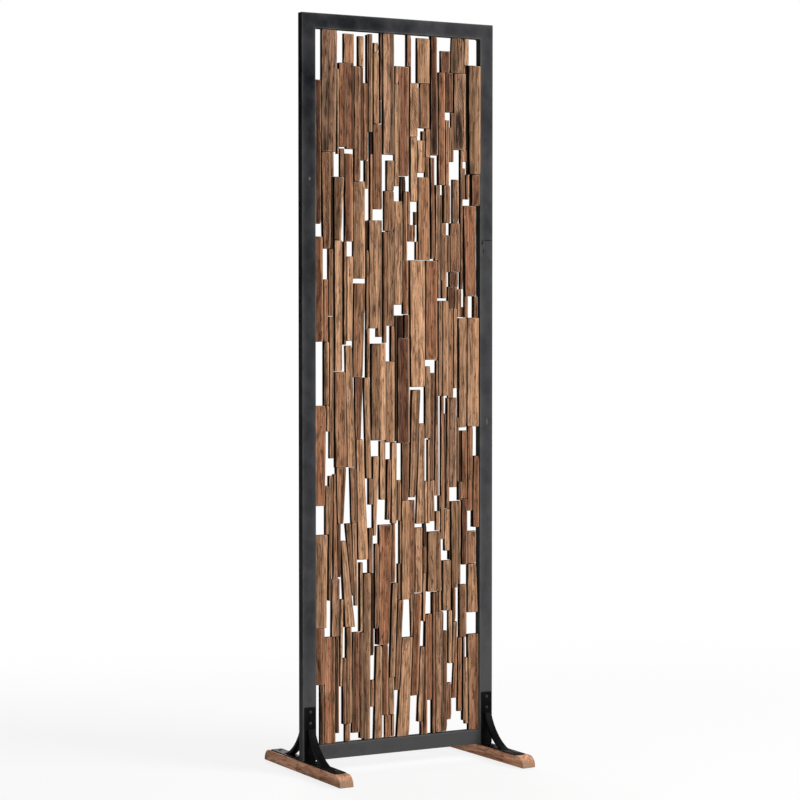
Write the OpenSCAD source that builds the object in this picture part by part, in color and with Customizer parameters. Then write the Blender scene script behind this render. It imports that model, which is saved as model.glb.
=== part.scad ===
// Free-standing room divider: a welded steel tube frame filled with a mosaic of
// reclaimed wood strips, standing on two wooden foot bars with strap brackets.
// Millimetres. X runs along the frame, Y to the rear, Z up.
// The origin lies on the floor, midway between the outermost points of the feet.

/* [Frame] */
// Overall width of the frame
frame_w = 580; // [460:5:800]
// Height of the frame's top edge above the floor
frame_top = 2000; // [1500:10:2400]
// Width of the tube as seen from the front
tube_face = 40; // [34:1:60]
// Depth of the tube from front to back
tube_depth = 25; // [22:1:40]
// Wall of the tube
tube_wall = 1.5; // [1:0.25:3]
// Radius of the tube's outer edges
tube_edge = 2.5; // [2:0.5:5]

/* [Feet] */
// Length of a foot bar from front to back
foot_l = 450; // [420:5:700]
// Width of a foot bar
foot_w = 40; // [36:1:60]
// Height of a foot bar's wood
foot_h = 30; // [30:1:50]
// Radius of the rounded upper ends of a foot bar
foot_end = 26; // [10:1:28]
// Degrees that the right foot bar is turned from square
right_foot_turn = 2; // [-3:0.5:3]
// Diameter of a glide under a foot bar
glide_d = 20; // [10:1:30]
// Height of a glide
glide_h = 2; // [1:0.5:6]
// Distance of a glide from the end of its bar
glide_in = 30; // [20:1:80]

/* [Brackets] */
// Width of the flat steel of plates and uprights
strap_w = 32; // [24:1:34]
// Thickness of that flat steel
strap_t = 3; // [2:0.5:6]
// Length of the plate that lies ahead of or behind the post
plate_reach = 178; // [160:2:186]
// Height of an upright above its plate
upright_h = 143; // [130:1:220]
// Width of a curved brace
brace_w = 20; // [12:1:24]
// Thickness of a curved brace
brace_t = 9; // [4:0.5:10]
// Radius of a curved brace's outer side
brace_r = 149; // [120:1:200]
// Height of a brace's upper end above the plate
brace_top = 86; // [70:1:90]
// Distance of a brace's lower end from the post's face
brace_reach = 107; // [80:1:120]

/* [Fixings] */
// Diameter of the screws that hold the uprights and plates
screw_d = 5; // [3:0.5:6]
// Diameter of their round heads
screw_head_d = 10; // [8:0.5:12]
// Height of their round heads
screw_head_h = 3; // [2:0.25:4]
// Length of the screws that go into the posts
post_screw_l = 12; // [8:1:13]
// Length of the screws that go into the foot bars
foot_screw_l = 22; // [12:1:26]
// Height of the lower upright screw above the plate
upright_screw_z = 100; // [92:1:110]
// Distance between the two screws of an upright
upright_screw_step = 30; // [15:1:32]
// Distance of the outer plate screw from the plate's end
plate_screw_in = 22; // [12:1:26]
// Distance of the inner plate screw from the post's face
plate_screw_near = 40; // [20:1:45]
// Diameter of the long screws that hold the wood panel
panel_screw_d = 4; // [3:0.5:5]
// Diameter of their countersunk heads
panel_head_d = 8; // [6:0.5:9]
// Depth that they enter the wood
panel_screw_in = 25; // [15:1:40]
// Clearance all round a screw in its hole
screw_gap = 0.2; // [0.1:0.05:0.3]

/* [Wood panel] */
// Distance of the strips' backs behind the frame's front face
strip_back = 15; // [14:0.5:19]
// Steps by which the backs of neighbouring strips differ
strip_step = 1.5; // [0:0.25:2]
// Least thickness of a strip
strip_least = 8; // [5:0.5:10]
// Thickness of the glue between strips
glue_line = 0.1; // [0.05:0.05:0.3]

/* [Hidden] */
$fn = 48;
// How far a cut goes past the face that it opens
past = 1;
LEFT = -1;
MIDDLE = 0;
RIGHT = 1;
FRONT = -1;
REAR = 1;

// The turned foot reaches further out, so the frame's middle lies a little to the left
foot_reach = foot_w / 2 * cos(right_foot_turn) + foot_l / 2 * sin(abs(right_foot_turn));
frame_x = (foot_w / 2 - foot_reach) / 2;

plate_top = glide_h + foot_h + strap_t;
frame_h = frame_top - plate_top;
post_x = (frame_w - tube_face) / 2;
face_y = tube_depth / 2;
opening_w = frame_w - 2 * tube_face;
opening_h = frame_h - 2 * tube_face;
opening_bottom = plate_top + tube_face;
plate_l = tube_depth + 2 * plate_reach;
bore_edge = max(tube_edge - tube_wall, 0.5);
panel_head_h = (panel_head_d - panel_screw_d) / 2;

// Recess of an ordinary strip, which the panel screws run down the middle of
list_recess = 5;
panel_screw_y = (list_recess + strip_back) / 2 - face_y;

// Where the panel screws stand along the cut list's width
TOP_SCREWS = [42, 222, 436];
BOTTOM_SCREWS = [39, 262, 484];

// Strips left of the first border and right of the second are side zones
ZONE_BORDERS = [170, 335];

// Wood tones of the strips
TAN = 0;
MID = 1;
RED = 2;
DARK = 3;
GREY = 4;
TONE_COLORS = [[0.72, 0.57, 0.43], [0.60, 0.45, 0.33], [0.53, 0.36, 0.27],
               [0.33, 0.24, 0.19], [0.52, 0.45, 0.38]];
FOOT_COLOR = [0.60, 0.42, 0.32];
FRAME_COLOR = [0.25, 0.26, 0.27];
BRACKET_COLOR = [0.12, 0.12, 0.13];
SCREW_COLOR = [0.10, 0.10, 0.11];
PANEL_SCREW_COLOR = [0.62, 0.58, 0.48];
GLIDE_COLOR = [0.08, 0.08, 0.08];

// The cut list, one row for each strip, course by course from the bottom:
// foot, head, left, right, recess of the front, tone, lean of left, lean of right
CUTS_01 = [
    [0, 158, 13.5, 27, 6, MID],
    [0, 284, 27, 52, 5, RED],
    [158, 308, 0, 27, 3, MID],
    [0, 284, 52, 60, 7, MID],
    [26, 284, 60, 70, 5, MID],
    [150, 382, 70, 79, 4, TAN, 3, 4],
    [0, 48, 87, 104, 6, MID],
    [48, 225, 81, 92, 5, RED],
    [48, 305, 92, 108, 5, RED],
    [22, 292, 108, 132, 6, MID, 3, 0],
    [6, 290, 132, 143, 4, TAN],
    [0, 448, 143, 164, 6, RED, 0, 3],
    [87, 160, 166, 177, 7, RED],
    [0, 250, 175, 201, 5, MID, 6, 0],
    [62, 252, 201, 220, 6, RED],
    [0, 62, 208.5, 228, 7, RED],
    [4, 62, 228, 237, 5, TAN],
    [62, 163, 220, 237, 5, TAN],
    [163, 417, 222, 238, 4, TAN, 8, 9],
    [127, 370, 238, 253, 6, MID, 11, 13],
    [0, 268, 245, 283, 5, TAN, 17, 11],
    [108, 384, 289, 311, 6, RED, 9, 11.9],
    [36, 240, 308, 325, 4, TAN, 9, 5.5],
    [0, 325, 326, 339, 6, RED, 6.5, 0],
    [0, 36, 318, 326, 6, RED],
    [92, 327, 339, 354, 7, RED],
    [0, 385, 354, 364, 5, RED],
    [2, 332, 364, 387, 4, GREY, 0, 2],
    [3, 278, 387, 401, 6, MID, 3, 0],
    [34, 135, 401, 415, 7, GREY],
    [92, 301, 416, 431, 6, RED, 12, 1],
    [54, 257, 434, 447, 6, RED],
    [28, 257, 450, 456, 5, MID],
    [18, 201, 456, 467, 6, TAN, 0, -2],
    [0, 264, 468, 500, 4, TAN, -3, 0]];
CUTS_02 = [
    [188, 333, 404, 415, 5, TAN, 0, 1],
    [188, 301, 415, 421, 4, TAN, 1, 6],
    [225, 447, 167, 177, 10, DARK],
    [268, 384, 289, 294, 7, MID, -3, 4],
    [252, 575, 190, 221, 4, RED, 0, 9],
    [253, 297, 185, 190, 12, DARK],
    [257, 402, 438, 461, 4, TAN],
    [284, 437, 48, 71, 5, GREY, 1, 2],
    [292, 477, 132, 141, 4, TAN],
    [297, 525, 177, 190, 5, MID],
    [301, 393, 417, 428, 6, MID],
    [306, 537, 88, 118.5, 5, TAN, -12.2, -27.2],
    [308, 556, 0, 33, 5, TAN, 0, 4],
    [323, 457, 465, 498, 5, TAN, 0, -6],
    [332, 385, 364, 373, 6, RED],
    [332, 387, 373, 381, 5, TAN],
    [333, 470, 386, 412, 5, GREY],
    [308, 440, 325, 332, 5, TAN, 0, 3],
    [362, 583, 117, 126, 6, MID, -8, -2]];
CUTS_03 = [
    [370, 638, 259, 284, 4, TAN],
    [371, 468, 248, 256, 6, MID],
    [380, 711, 39, 47, 6, MID, 2, 7],
    [384, 638, 284, 300, 6, MID],
    [386, 563, 300, 323, 4, TAN],
    [387, 550, 340, 383, 4, TAN, 0, -3],
    [390, 583, 109, 116, 6, MID, -20, -9],
    [393, 630, 414, 434, 4, GREY, -2, 0],
    [402, 630, 434, 442, 5, GREY, 0, 1],
    [418, 577, 227, 241, 6, RED, 4, -1],
    [437, 715, 54, 67, 6, RED, 0, -6],
    [441, 582, 67, 75, 6, MID, -3, 1],
    [440, 510, 325, 336, 5, RED],
    [448, 568, 159, 172, 6, RED],
    [455, 636, 447, 465, 6, DARK],
    [458, 547, 465, 492, 5, RED],
    [468, 584, 253, 259, 6, TAN],
    [471, 628, 408, 412, 10, DARK],
    [484, 806, 127, 159, 4, TAN, -6, -16],
    [496, 610, 392, 408, 5, TAN],
    [510, 573, 329, 339, 10, DARK],
    [528, 917, 381, 392, 6, MID, 0, -2],
    [547, 759, 172, 181.5, 5, TAN, 0, 9.5]];
CUTS_04 = [
    [552, 605, 365, 379, 6, TAN],
    [556, 685, 30, 40, 6, TAN],
    [557, 752, 480, 500, 3, RED, 2, 0],
    [573, 844, 304, 331, 6, RED, 9.5, 0],
    [577, 795, 228, 244, 5, TAN, 0, 1],
    [573, 688, 331, 339, 6, TAN],
    [573, 800, 339, 346, 5, TAN],
    [578, 690, 346, 361, 5, TAN],
    [582, 732, 66, 84, 5, MID, -4, 8.5],
    [583, 731, 107, 125, 5, MID, -4, -3],
    [584, 693, 246, 256, 5, TAN, 0, 1],
    [587, 750, 213, 224, 5, RED, 3, 4],
    [602, 832, 465, 480, 6, RED, 0, 2],
    [605, 647, 374, 381, 7, MID],
    [630, 700, 160, 172, 6, GREY, 0, 0],
    [700, 970, 151, 168, 5, GREY, -7, -7],
    [632, 897, 0, 29, 5, RED, 0, 4],
    [632, 683, 436, 447, 6, MID],
    [636, 822, 447, 464, 6, MID],
    [638, 792, 261, 282, 7, DARK, 0, 3],
    [645, 935, 284, 303, 5, TAN, 7, 15],
    [647, 1014, 361, 375, 6, GREY, 4, -3],
    [642, 800, 193, 210, 6, TAN, 0, 1],
    [611, 912, 396, 407, 5, GREY, 4, 0],
    [612, 869, 391.6, 396, 9, DARK, -1.3, 3],
    [668, 912, 407, 430, 5, GREY],
    [683, 858, 430, 436, 4, TAN],
    [683, 822, 438, 447, 10, DARK],
    [690, 980, 347, 361, 9, DARK, 0, 3],
    [732, 986, 60, 94, 4, RED, -3, -4],
    [732, 1055, 95, 121, 5, TAN, -6, -11]];
CUTS_05 = [
    [757, 1132, 42, 55, 6, RED],
    [792, 1074, 248, 286, 6, DARK, 0, -2],
    [795, 1012, 211, 238, 5, TAN],
    [803, 998, 331, 347, 4, TAN],
    [801, 1060, 167, 211, 4, RED],
    [797, 1135, 238, 248, 11, DARK],
    [806, 970, 121, 138, 9, DARK, -2, 6],
    [828, 897, 33, 42, 5, TAN],
    [830, 1128, 437, 461, 5, TAN, -2, 1],
    [832, 1129, 462, 500, 4, MID],
    [897, 1065, 26, 41, 5, TAN],
    [917, 1175, 373, 384, 5, TAN],
    [917, 1175, 384, 404, 4, TAN],
    [912, 1154, 404, 420, 6, MID],
    [937, 1154, 420, 431, 5, TAN]];
CUTS_06 = [
    [942, 1283, 287, 331, 3, TAN, -5, 0],
    [970, 1220, 113, 142, 5, MID, 3, 8],
    [970, 1100, 153, 163, 6, MID],
    [1100, 1308, 152, 160, 6, MID],
    [987, 1333, 57, 80, 4, TAN],
    [1012, 1107, 227, 238, 6, RED],
    [1015, 1283, 333, 370, 4, RED],
    [1061, 1358, 204, 214, 6, RED, 0, 1],
    [1065, 1342, 0, 26, 5, RED, 0, -2],
    [1065, 1230, 26, 38.5, 5, RED],
    [1057, 1330, 85, 91.9, 5, MID, 0, 2],
    [1067, 1291, 92, 110, 4, TAN, 2, 3],
    [1074, 1135, 248, 268, 12, DARK],
    [1074, 1137, 268, 283, 6, DARK],
    [1077, 1388, 187, 200, 6, GREY],
    [1077, 1100, 183, 187, 7, RED],
    [1100, 1388, 160, 187, 4, TAN],
    [1107, 1360, 215, 236, 5, TAN]];
CUTS_07 = [
    [1129, 1187, 454, 466, 6, MID],
    [1130, 1158, 446, 454, 11, DARK],
    [1129, 1187, 483, 496, 5, MID],
    [1138, 1283, 263, 281, 6, RED],
    [1133, 1310, 40, 54, 6, MID],
    [1154, 1213, 404, 423, 9, DARK],
    [1130, 1206, 432, 445, 6, MID],
    [1154, 1213, 423, 432, 6, MID],
    [1163, 1440, 236, 262, 4, GREY],
    [1181, 1350, 383, 399, 5, MID],
    [1187, 1433, 455, 490, 4, RED, -5, 0],
    [1213, 1252, 409, 436, 8, DARK],
    [1206, 1583, 440, 448, 5, TAN],
    [1181, 1487, 371, 378, 6, GREY],
    [1230, 1460, 378, 383, 6, GREY],
    [1232, 1490, 113, 149, 5, MID],
    [1252, 1385, 409, 440, 5, MID],
    [1252, 1352, 399, 409, 6, MID],
    [1283, 1467, 264, 277, 6, MID],
    [1284, 1333, 303, 309, 6, TAN],
    [1283, 1487, 362, 371, 5, TAN, 3, 0],
    [1284, 1506, 309, 346, 4, TAN, 0, -2],
    [1287, 1560, 351, 362, 5, MID, -4, -2]];
CUTS_08 = [
    [1308, 1387, 149, 160, 12, DARK],
    [1310, 1500, 48, 56, 12, DARK],
    [1310, 1565, 25, 47, 5, TAN, -6, 0],
    [1330, 1562, 88, 113, 5, RED],
    [1333, 1500, 56, 77, 4, MID, 0, 10],
    [1333, 1378, 279, 295, 7, DARK],
    [1333, 1378, 295, 303, 9, DARK],
    [1378, 1413, 300, 309, 9, DARK],
    [1350, 1385, 383, 396, 5, MID],
    [1360, 1467, 206, 236, 5, MID],
    [1375, 1752, 0, 18, 5, MID, 0, 1],
    [1378, 1467, 277, 286, 6, MID],
    [1385, 1503, 416, 437, 6, GREY],
    [1385, 1487, 388, 410, 5, MID],
    [1388, 1563, 164, 172, 6, RED],
    [1417, 1643, 172, 200, 4, MID, 0, -1],
    [1433, 1518, 474, 500, 0, MID],
    [1440, 1507, 259, 264, 12, DARK],
    [1467, 1507, 264, 275, 12, DARK],
    [1440, 1613, 286, 308, 5, TAN],
    [1450, 1534, 448, 456, 6, MID],
    [1450, 1518, 458, 469, 5, TAN],
    [1467, 1548, 214, 237, 5, TAN],
    [1471, 1545, 149, 160, 6, MID],
    [1480, 1752, 237, 251, 5, TAN],
    [1487, 1790, 372, 393, 5, RED],
    [1487, 1662, 394, 406, 5, MID],
    [1490, 1793, 116, 136, 5, TAN]];
CUTS_09 = [
    [1500, 1575, 74, 88, 6, MID],
    [1500, 1565, 47, 56, 6, TAN],
    [1508, 1800, 251, 282, 6, RED, 0, 2],
    [1506, 1560, 331, 344, 6, TAN, 0, -1],
    [1518, 1605, 309, 331, 5, TAN],
    [1518, 1812, 464, 500, -4, TAN, -3, 0],
    [1545, 1792, 136, 145, 8, MID],
    [1545, 1750, 145, 158, 6, RED],
    [1550, 1643, 406, 412, 6, MID],
    [1552, 1583, 448, 462, 6, MID],
    [1560, 1783, 65, 71, 4, TAN],
    [1560, 1637, 333, 348, 5, TAN],
    [1563, 1621, 164, 172, 10, DARK],
    [1563, 1885, 203, 237, 4, TAN],
    [1566, 1885, 349, 372, 5, DARK, 0, -4],
    [1565, 1885, 19, 61, 4, GREY, 1, 5],
    [1574, 1800, 92, 116, 6, MID],
    [1579, 1800, 71, 92, 5, RED],
    [1550, 1683, 412, 420, 6, DARK],
    [1583, 1790, 420, 457, 4, GREY],
    [1605, 1630, 322, 331, 6, MID],
    [1613, 1757, 283, 308, 4, TAN, 1, 0],
    [1638, 1745, 308, 314, 6, MID],
    [1621, 1880, 158, 171, 5, GREY, 2, 0],
    [1637, 1757, 315, 345, 6, MID],
    [1643, 1832, 173, 190, 4, TAN],
    [1645, 1707, 190, 201, 12, DARK]];
CUTS_10 = [
    [1683, 1790, 393, 418, 6, MID],
    [1707, 1885, 194, 201, 6, RED],
    [1750, 1878, 154.5, 158, 6, RED, 0, 1],
    [1790, 1885, 410, 451, 5, MID, 4, 0],
    [1790, 1812, 451, 456, 6, MID],
    [1752, 1800, 240, 251, 6, RED],
    [1757, 1878, 305.5, 345, 4, TAN],
    [1790, 1848, 380, 410, 7, RED],
    [1793, 1873, 129, 146, 6, TAN],
    [1800, 1877, 85, 117, 5, MID],
    [1800, 1885, 274.5, 288.5, 5, MID],
    [1757, 1800, 284.2, 288.5, 6, MID],
    [1812, 1885, 452, 467, 5, TAN],
    [1832, 1858, 176, 190, 6, TAN]];
COURSES = [CUTS_01, CUTS_02, CUTS_03, CUTS_04, CUTS_05,
           CUTS_06, CUTS_07, CUTS_08, CUTS_09, CUTS_10];
// The list's own width and height are stretched to fill whatever opening the frame has
list_w = max([for (cuts = COURSES, cut = cuts) cut[3]]);
list_h = max([for (cuts = COURSES, cut = cuts) cut[1]]);

// Frame

module rounded_rectangle(width, depth, radius) {
    square([width - 2 * radius, depth], center = true);
    square([width, depth - 2 * radius], center = true);
    for (x = [-1, 1], y = [-1, 1])
        translate([x * (width / 2 - radius), y * (depth / 2 - radius)])
            circle(radius);
}

// Section of the tube, with the frame's outer side at x = 0
module tube_section() {
    translate([tube_face / 2, 0])
        difference() {
            rounded_rectangle(tube_face, tube_depth, tube_edge);
            rounded_rectangle(tube_face - 2 * tube_wall, tube_depth - 2 * tube_wall, bore_edge);
        }
}

// Length of tube along Z, cut at 45 degrees at both ends
module mitred_tube(length) {
    inner = tube_face + past;
    intersection() {
        linear_extrude(length)
            tube_section();
        rotate([90, 0, 0])
            linear_extrude(tube_depth + 2 * past, center = true)
                polygon([[-past, -past], [inner, inner],
                         [inner, length - inner], [-past, length + past]]);
    }
}

function post_at(side) = frame_x + side * post_x;

// Stands its children on the plate at a post's face, with +Y away from the post
module at_post(side, face) {
    translate([post_at(side), face * face_y, plate_top])
        rotate([0, 0, face == REAR ? 0 : 180])
            children();
}

module screw_hole(depth) {
    translate([0, 0, -depth])
        cylinder(h = depth + past, d = screw_d + 2 * screw_gap);
}

// Puts its children on an upright's outer face at its two screw places, +Z outward
module upright_screw_places() {
    for (step = [0, 1])
        translate([0, strap_t, upright_screw_z + step * upright_screw_step])
            rotate([-90, 0, 0])
                children();
}

// Puts its children on top of a plate at the two screw places of one half
module plate_screw_places() {
    for (y = [plate_screw_near, plate_reach - plate_screw_in])
        translate([0, y, 0])
            children();
}

// Upright tube of the frame with the holes for its upright screws
module post(side) {
    difference() {
        translate([frame_x + side * frame_w / 2, 0, plate_top])
            rotate([0, 0, side == LEFT ? 0 : 180])
                mitred_tube(frame_h);
        for (face = [FRONT, REAR])
            at_post(side, face)
                upright_screw_places()
                    screw_hole(strap_t + tube_wall + past);
    }
}

module left_post() {
    color(FRAME_COLOR)
        post(LEFT);
}

module right_post() {
    color(FRAME_COLOR)
        post(RIGHT);
}

// Countersunk hole through a rail and on into the strip behind it
module panel_screw_hole() {
    translate([0, 0, -panel_head_h])
        cylinder(h = panel_head_h, d1 = panel_screw_d + 2 * screw_gap,
                 d2 = panel_head_d + 2 * screw_gap);
    translate([0, 0, -tube_face - panel_screw_in - past])
        cylinder(h = tube_face + panel_screw_in + 2 * past, d = panel_screw_d + 2 * screw_gap);
}

// Puts its children at the panel screws of the top rail, +Z out of the rail
module top_screw_places() {
    for (x = TOP_SCREWS)
        translate([list_x(x), panel_screw_y, frame_top])
            children();
}

// Puts its children at the panel screws of the bottom rail, +Z out of the rail
module bottom_screw_places() {
    for (x = BOTTOM_SCREWS)
        translate([list_x(x), panel_screw_y, plate_top])
            rotate([180, 0, 0])
                children();
}

module top_rail() {
    color(FRAME_COLOR)
        difference() {
            translate([frame_x - frame_w / 2, 0, frame_top])
                rotate([0, 90, 0])
                    mitred_tube(frame_w);
            top_screw_places()
                panel_screw_hole();
        }
}

module bottom_rail() {
    color(FRAME_COLOR)
        difference() {
            translate([frame_x + frame_w / 2, 0, plate_top])
                rotate([0, -90, 0])
                    mitred_tube(frame_w);
            bottom_screw_places()
                panel_screw_hole();
        }
}

// Feet

// Side view of a foot bar, its upper corners rounded
module foot_outline() {
    straight = foot_l - 2 * foot_end;
    intersection() {
        translate([-foot_l / 2, 0])
            square([foot_l, foot_h]);
        union() {
            translate([-straight / 2, 0])
                square([straight, foot_h]);
            translate([-foot_l / 2, 0])
                square([foot_l, foot_h - foot_end]);
            for (end = [-1, 1])
                translate([end * straight / 2, foot_h - foot_end])
                    circle(foot_end, $fn = 96);
        }
    }
}

function foot_turn(side) = side == RIGHT ? right_foot_turn : 0;

module foot_bar(side) {
    color(FOOT_COLOR)
        difference() {
            translate([post_at(side), 0, glide_h])
                rotate([0, 0, foot_turn(side)])
                    rotate([90, 0, 90])
                        linear_extrude(foot_w, center = true)
                            foot_outline();
            for (face = [FRONT, REAR])
                at_post(side, face)
                    plate_screw_places()
                        screw_hole(foot_screw_l + past);
        }
}

module left_foot_bar() {
    foot_bar(LEFT);
}

module right_foot_bar() {
    foot_bar(RIGHT);
}

module foot_glides() {
    color(GLIDE_COLOR)
        for (side = [LEFT, RIGHT], end = [FRONT, REAR])
            translate([post_at(side), 0, 0])
                rotate([0, 0, foot_turn(side)])
                    translate([0, end * (foot_l / 2 - glide_in), 0])
                        cylinder(h = glide_h, d = glide_d);
}

// Brackets

module foot_plate(side) {
    color(BRACKET_COLOR)
        difference() {
            translate([post_at(side) - strap_w / 2, -plate_l / 2, plate_top - strap_t])
                cube([strap_w, plate_l, strap_t]);
            for (face = [FRONT, REAR])
                at_post(side, face)
                    plate_screw_places()
                        screw_hole(strap_t + past);
        }
}

module left_foot_plate() {
    foot_plate(LEFT);
}

module right_foot_plate() {
    foot_plate(RIGHT);
}

module upright(side, face) {
    color(BRACKET_COLOR)
        at_post(side, face)
            difference() {
                translate([-strap_w / 2, 0, 0])
                    cube([strap_w, strap_t, upright_h]);
                upright_screw_places()
                    screw_hole(strap_t + past);
            }
}

module left_front_upright() {
    upright(LEFT, FRONT);
}

module left_rear_upright() {
    upright(LEFT, REAR);
}

module right_front_upright() {
    upright(RIGHT, FRONT);
}

module right_rear_upright() {
    upright(RIGHT, REAR);
}

// The brace's outer side is an arc from its square-cut upper end down to the plate
brace_upper = [strap_t + brace_t - 0.5, brace_top];
brace_lower = [brace_reach, 0];
brace_chord = brace_lower - brace_upper;
brace_rise = sqrt(brace_r * brace_r - brace_chord * brace_chord / 4);
brace_centre = (brace_upper + brace_lower) / 2
    + brace_rise * [-brace_chord.y, brace_chord.x] / norm(brace_chord);

module brace(side, face) {
    color(BRACKET_COLOR)
        at_post(side, face)
            rotate([90, 0, 90])
                linear_extrude(brace_w, center = true)
                    intersection() {
                        difference() {
                            translate(brace_centre)
                                circle(brace_r + brace_t, $fn = 180);
                            translate(brace_centre)
                                circle(brace_r, $fn = 180);
                        }
                        translate([strap_t, 0])
                            square([brace_centre.x - strap_t, brace_top]);
                    }
}

module left_front_brace() {
    brace(LEFT, FRONT);
}

module left_rear_brace() {
    brace(LEFT, REAR);
}

module right_front_brace() {
    brace(RIGHT, FRONT);
}

module right_rear_brace() {
    brace(RIGHT, REAR);
}

// Fixings

// Screw along Z with a domed, cross-slotted head that stands on z = 0
module round_screw(length) {
    head_r = screw_head_d / 2;
    dome_r = (head_r * head_r + screw_head_h * screw_head_h) / (2 * screw_head_h);
    slot = [screw_head_d * 0.5, screw_head_d * 0.1, screw_head_h];
    difference() {
        intersection() {
            translate([0, 0, screw_head_h - dome_r])
                sphere(dome_r);
            cylinder(h = screw_head_h, r = head_r);
        }
        for (turn = [0, 90])
            rotate([0, 0, turn])
                translate([0, 0, screw_head_h])
                    cube(slot, center = true);
    }
    translate([0, 0, -length])
        cylinder(h = length, d = screw_d);
}

module upright_screws() {
    color(SCREW_COLOR)
        for (side = [LEFT, RIGHT], face = [FRONT, REAR])
            at_post(side, face)
                upright_screw_places()
                    round_screw(post_screw_l);
}

module plate_screws() {
    color(SCREW_COLOR)
        for (side = [LEFT, RIGHT], face = [FRONT, REAR])
            at_post(side, face)
                plate_screw_places()
                    round_screw(foot_screw_l);
}

// Long countersunk screw along Z, its head flush with z = 0
module panel_screw() {
    translate([0, 0, -panel_head_h])
        cylinder(h = panel_head_h, d1 = panel_screw_d, d2 = panel_head_d);
    translate([0, 0, -tube_face - panel_screw_in])
        cylinder(h = tube_face + panel_screw_in - panel_head_h, d = panel_screw_d);
}

module panel_screws() {
    color(PANEL_SCREW_COLOR) {
        top_screw_places()
            panel_screw();
        bottom_screw_places()
            panel_screw();
    }
}

// Wood panel

function list_x(x) = frame_x + (x / list_w - 0.5) * opening_w;
function list_z(z) = opening_bottom + z / list_h * opening_h;
function zone_of(cut) =
    (cut[2] + cut[3]) / 2 < ZONE_BORDERS[0] ? LEFT :
    (cut[2] + cut[3]) / 2 < ZONE_BORDERS[1] ? MIDDLE : RIGHT;
function lean(cut, edge) = len(cut) > 6 ? cut[6 + edge] : 0;

// Outline of a strip as seen from the front, half a glue line short all round
module strip_outline(cut) {
    glue = glue_line / 2;
    bottom = list_z(cut[0]) + glue;
    top = list_z(cut[1]) - glue;
    polygon([[list_x(cut[2]) + glue, bottom],
             [list_x(cut[3]) - glue, bottom],
             [list_x(cut[3] + lean(cut, 1)) - glue, top],
             [list_x(cut[2] + lean(cut, 0)) + glue, top]]);
}

module strip(cut, back_steps) {
    front = cut[4];
    back = max(strip_back, front + strip_least) + back_steps * strip_step;
    color(TONE_COLORS[cut[5]])
        difference() {
            translate([0, back - face_y, 0])
                rotate([90, 0, 0])
                    linear_extrude(back - front)
                        strip_outline(cut);
            if (cut[0] == 0)
                bottom_screw_places()
                    panel_screw_hole();
            if (cut[1] == list_h)
                top_screw_places()
                    panel_screw_hole();
        }
}

// The strips of one course whose middles lie in one zone
module strips(course, zone) {
    cuts = COURSES[course - 1];
    for (i = [0 : len(cuts) - 1])
        if (zone_of(cuts[i]) == zone)
            strip(cuts[i], i % 3);
}

left_post();
right_post();
top_rail();
bottom_rail();
left_foot_bar();
right_foot_bar();
left_foot_plate();
right_foot_plate();
left_front_upright();
left_rear_upright();
right_front_upright();
right_rear_upright();
left_front_brace();
left_rear_brace();
right_front_brace();
right_rear_brace();
upright_screws();
plate_screws();
panel_screws();
foot_glides();
strips(1, LEFT);  // strips_01_left
strips(1, MIDDLE);  // strips_01_middle
strips(1, RIGHT);  // strips_01_right
strips(2, LEFT);  // strips_02_left
strips(2, MIDDLE);  // strips_02_middle
strips(2, RIGHT);  // strips_02_right
strips(3, LEFT);  // strips_03_left
strips(3, MIDDLE);  // strips_03_middle
strips(3, RIGHT);  // strips_03_right
strips(4, LEFT);  // strips_04_left
strips(4, MIDDLE);  // strips_04_middle
strips(4, RIGHT);  // strips_04_right
strips(5, LEFT);  // strips_05_left
strips(5, MIDDLE);  // strips_05_middle
strips(5, RIGHT);  // strips_05_right
strips(6, LEFT);  // strips_06_left
strips(6, MIDDLE);  // strips_06_middle
strips(6, RIGHT);  // strips_06_right
strips(7, LEFT);  // strips_07_left
strips(7, MIDDLE);  // strips_07_middle
strips(7, RIGHT);  // strips_07_right
strips(8, LEFT);  // strips_08_left
strips(8, MIDDLE);  // strips_08_middle
strips(8, RIGHT);  // strips_08_right
strips(9, LEFT);  // strips_09_left
strips(9, MIDDLE);  // strips_09_middle
strips(9, RIGHT);  // strips_09_right
strips(10, LEFT);  // strips_10_left
strips(10, MIDDLE);  // strips_10_middle
strips(10, RIGHT);  // strips_10_right
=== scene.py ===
"""Looks of the room divider: a mosaic of old wood strips in a steel frame on two wooden feet.

Metres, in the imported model's frame: X runs along the panel, Y to the rear, Z up.
"""

import logging
import math
import random
from dataclasses import dataclass, field, replace
from enum import Enum
from typing import Any, Iterable, NamedTuple, Sequence

import bmesh
import bpy
from mathutils import Matrix, Vector, noise


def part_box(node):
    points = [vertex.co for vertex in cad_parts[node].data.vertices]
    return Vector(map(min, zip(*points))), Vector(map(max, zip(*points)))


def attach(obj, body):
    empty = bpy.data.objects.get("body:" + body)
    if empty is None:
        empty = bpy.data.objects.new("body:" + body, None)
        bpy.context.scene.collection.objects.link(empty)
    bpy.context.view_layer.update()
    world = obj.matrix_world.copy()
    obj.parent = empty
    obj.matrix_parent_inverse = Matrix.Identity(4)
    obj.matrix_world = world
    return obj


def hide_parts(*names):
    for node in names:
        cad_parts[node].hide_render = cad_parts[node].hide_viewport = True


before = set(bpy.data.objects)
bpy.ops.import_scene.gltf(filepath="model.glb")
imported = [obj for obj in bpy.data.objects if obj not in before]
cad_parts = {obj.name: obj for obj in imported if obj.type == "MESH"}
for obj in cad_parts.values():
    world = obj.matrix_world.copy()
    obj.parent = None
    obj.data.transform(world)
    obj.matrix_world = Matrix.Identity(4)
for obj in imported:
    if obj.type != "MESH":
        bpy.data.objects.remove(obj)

LOG = logging.getLogger("room_divider")
ROOT = "root"
MM = 0.001
CUT_SLACK = 1e-7
WELD_SLACK = 1e-6
SHARP = 0.9
SLOT_TAPER = 0.75

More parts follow.
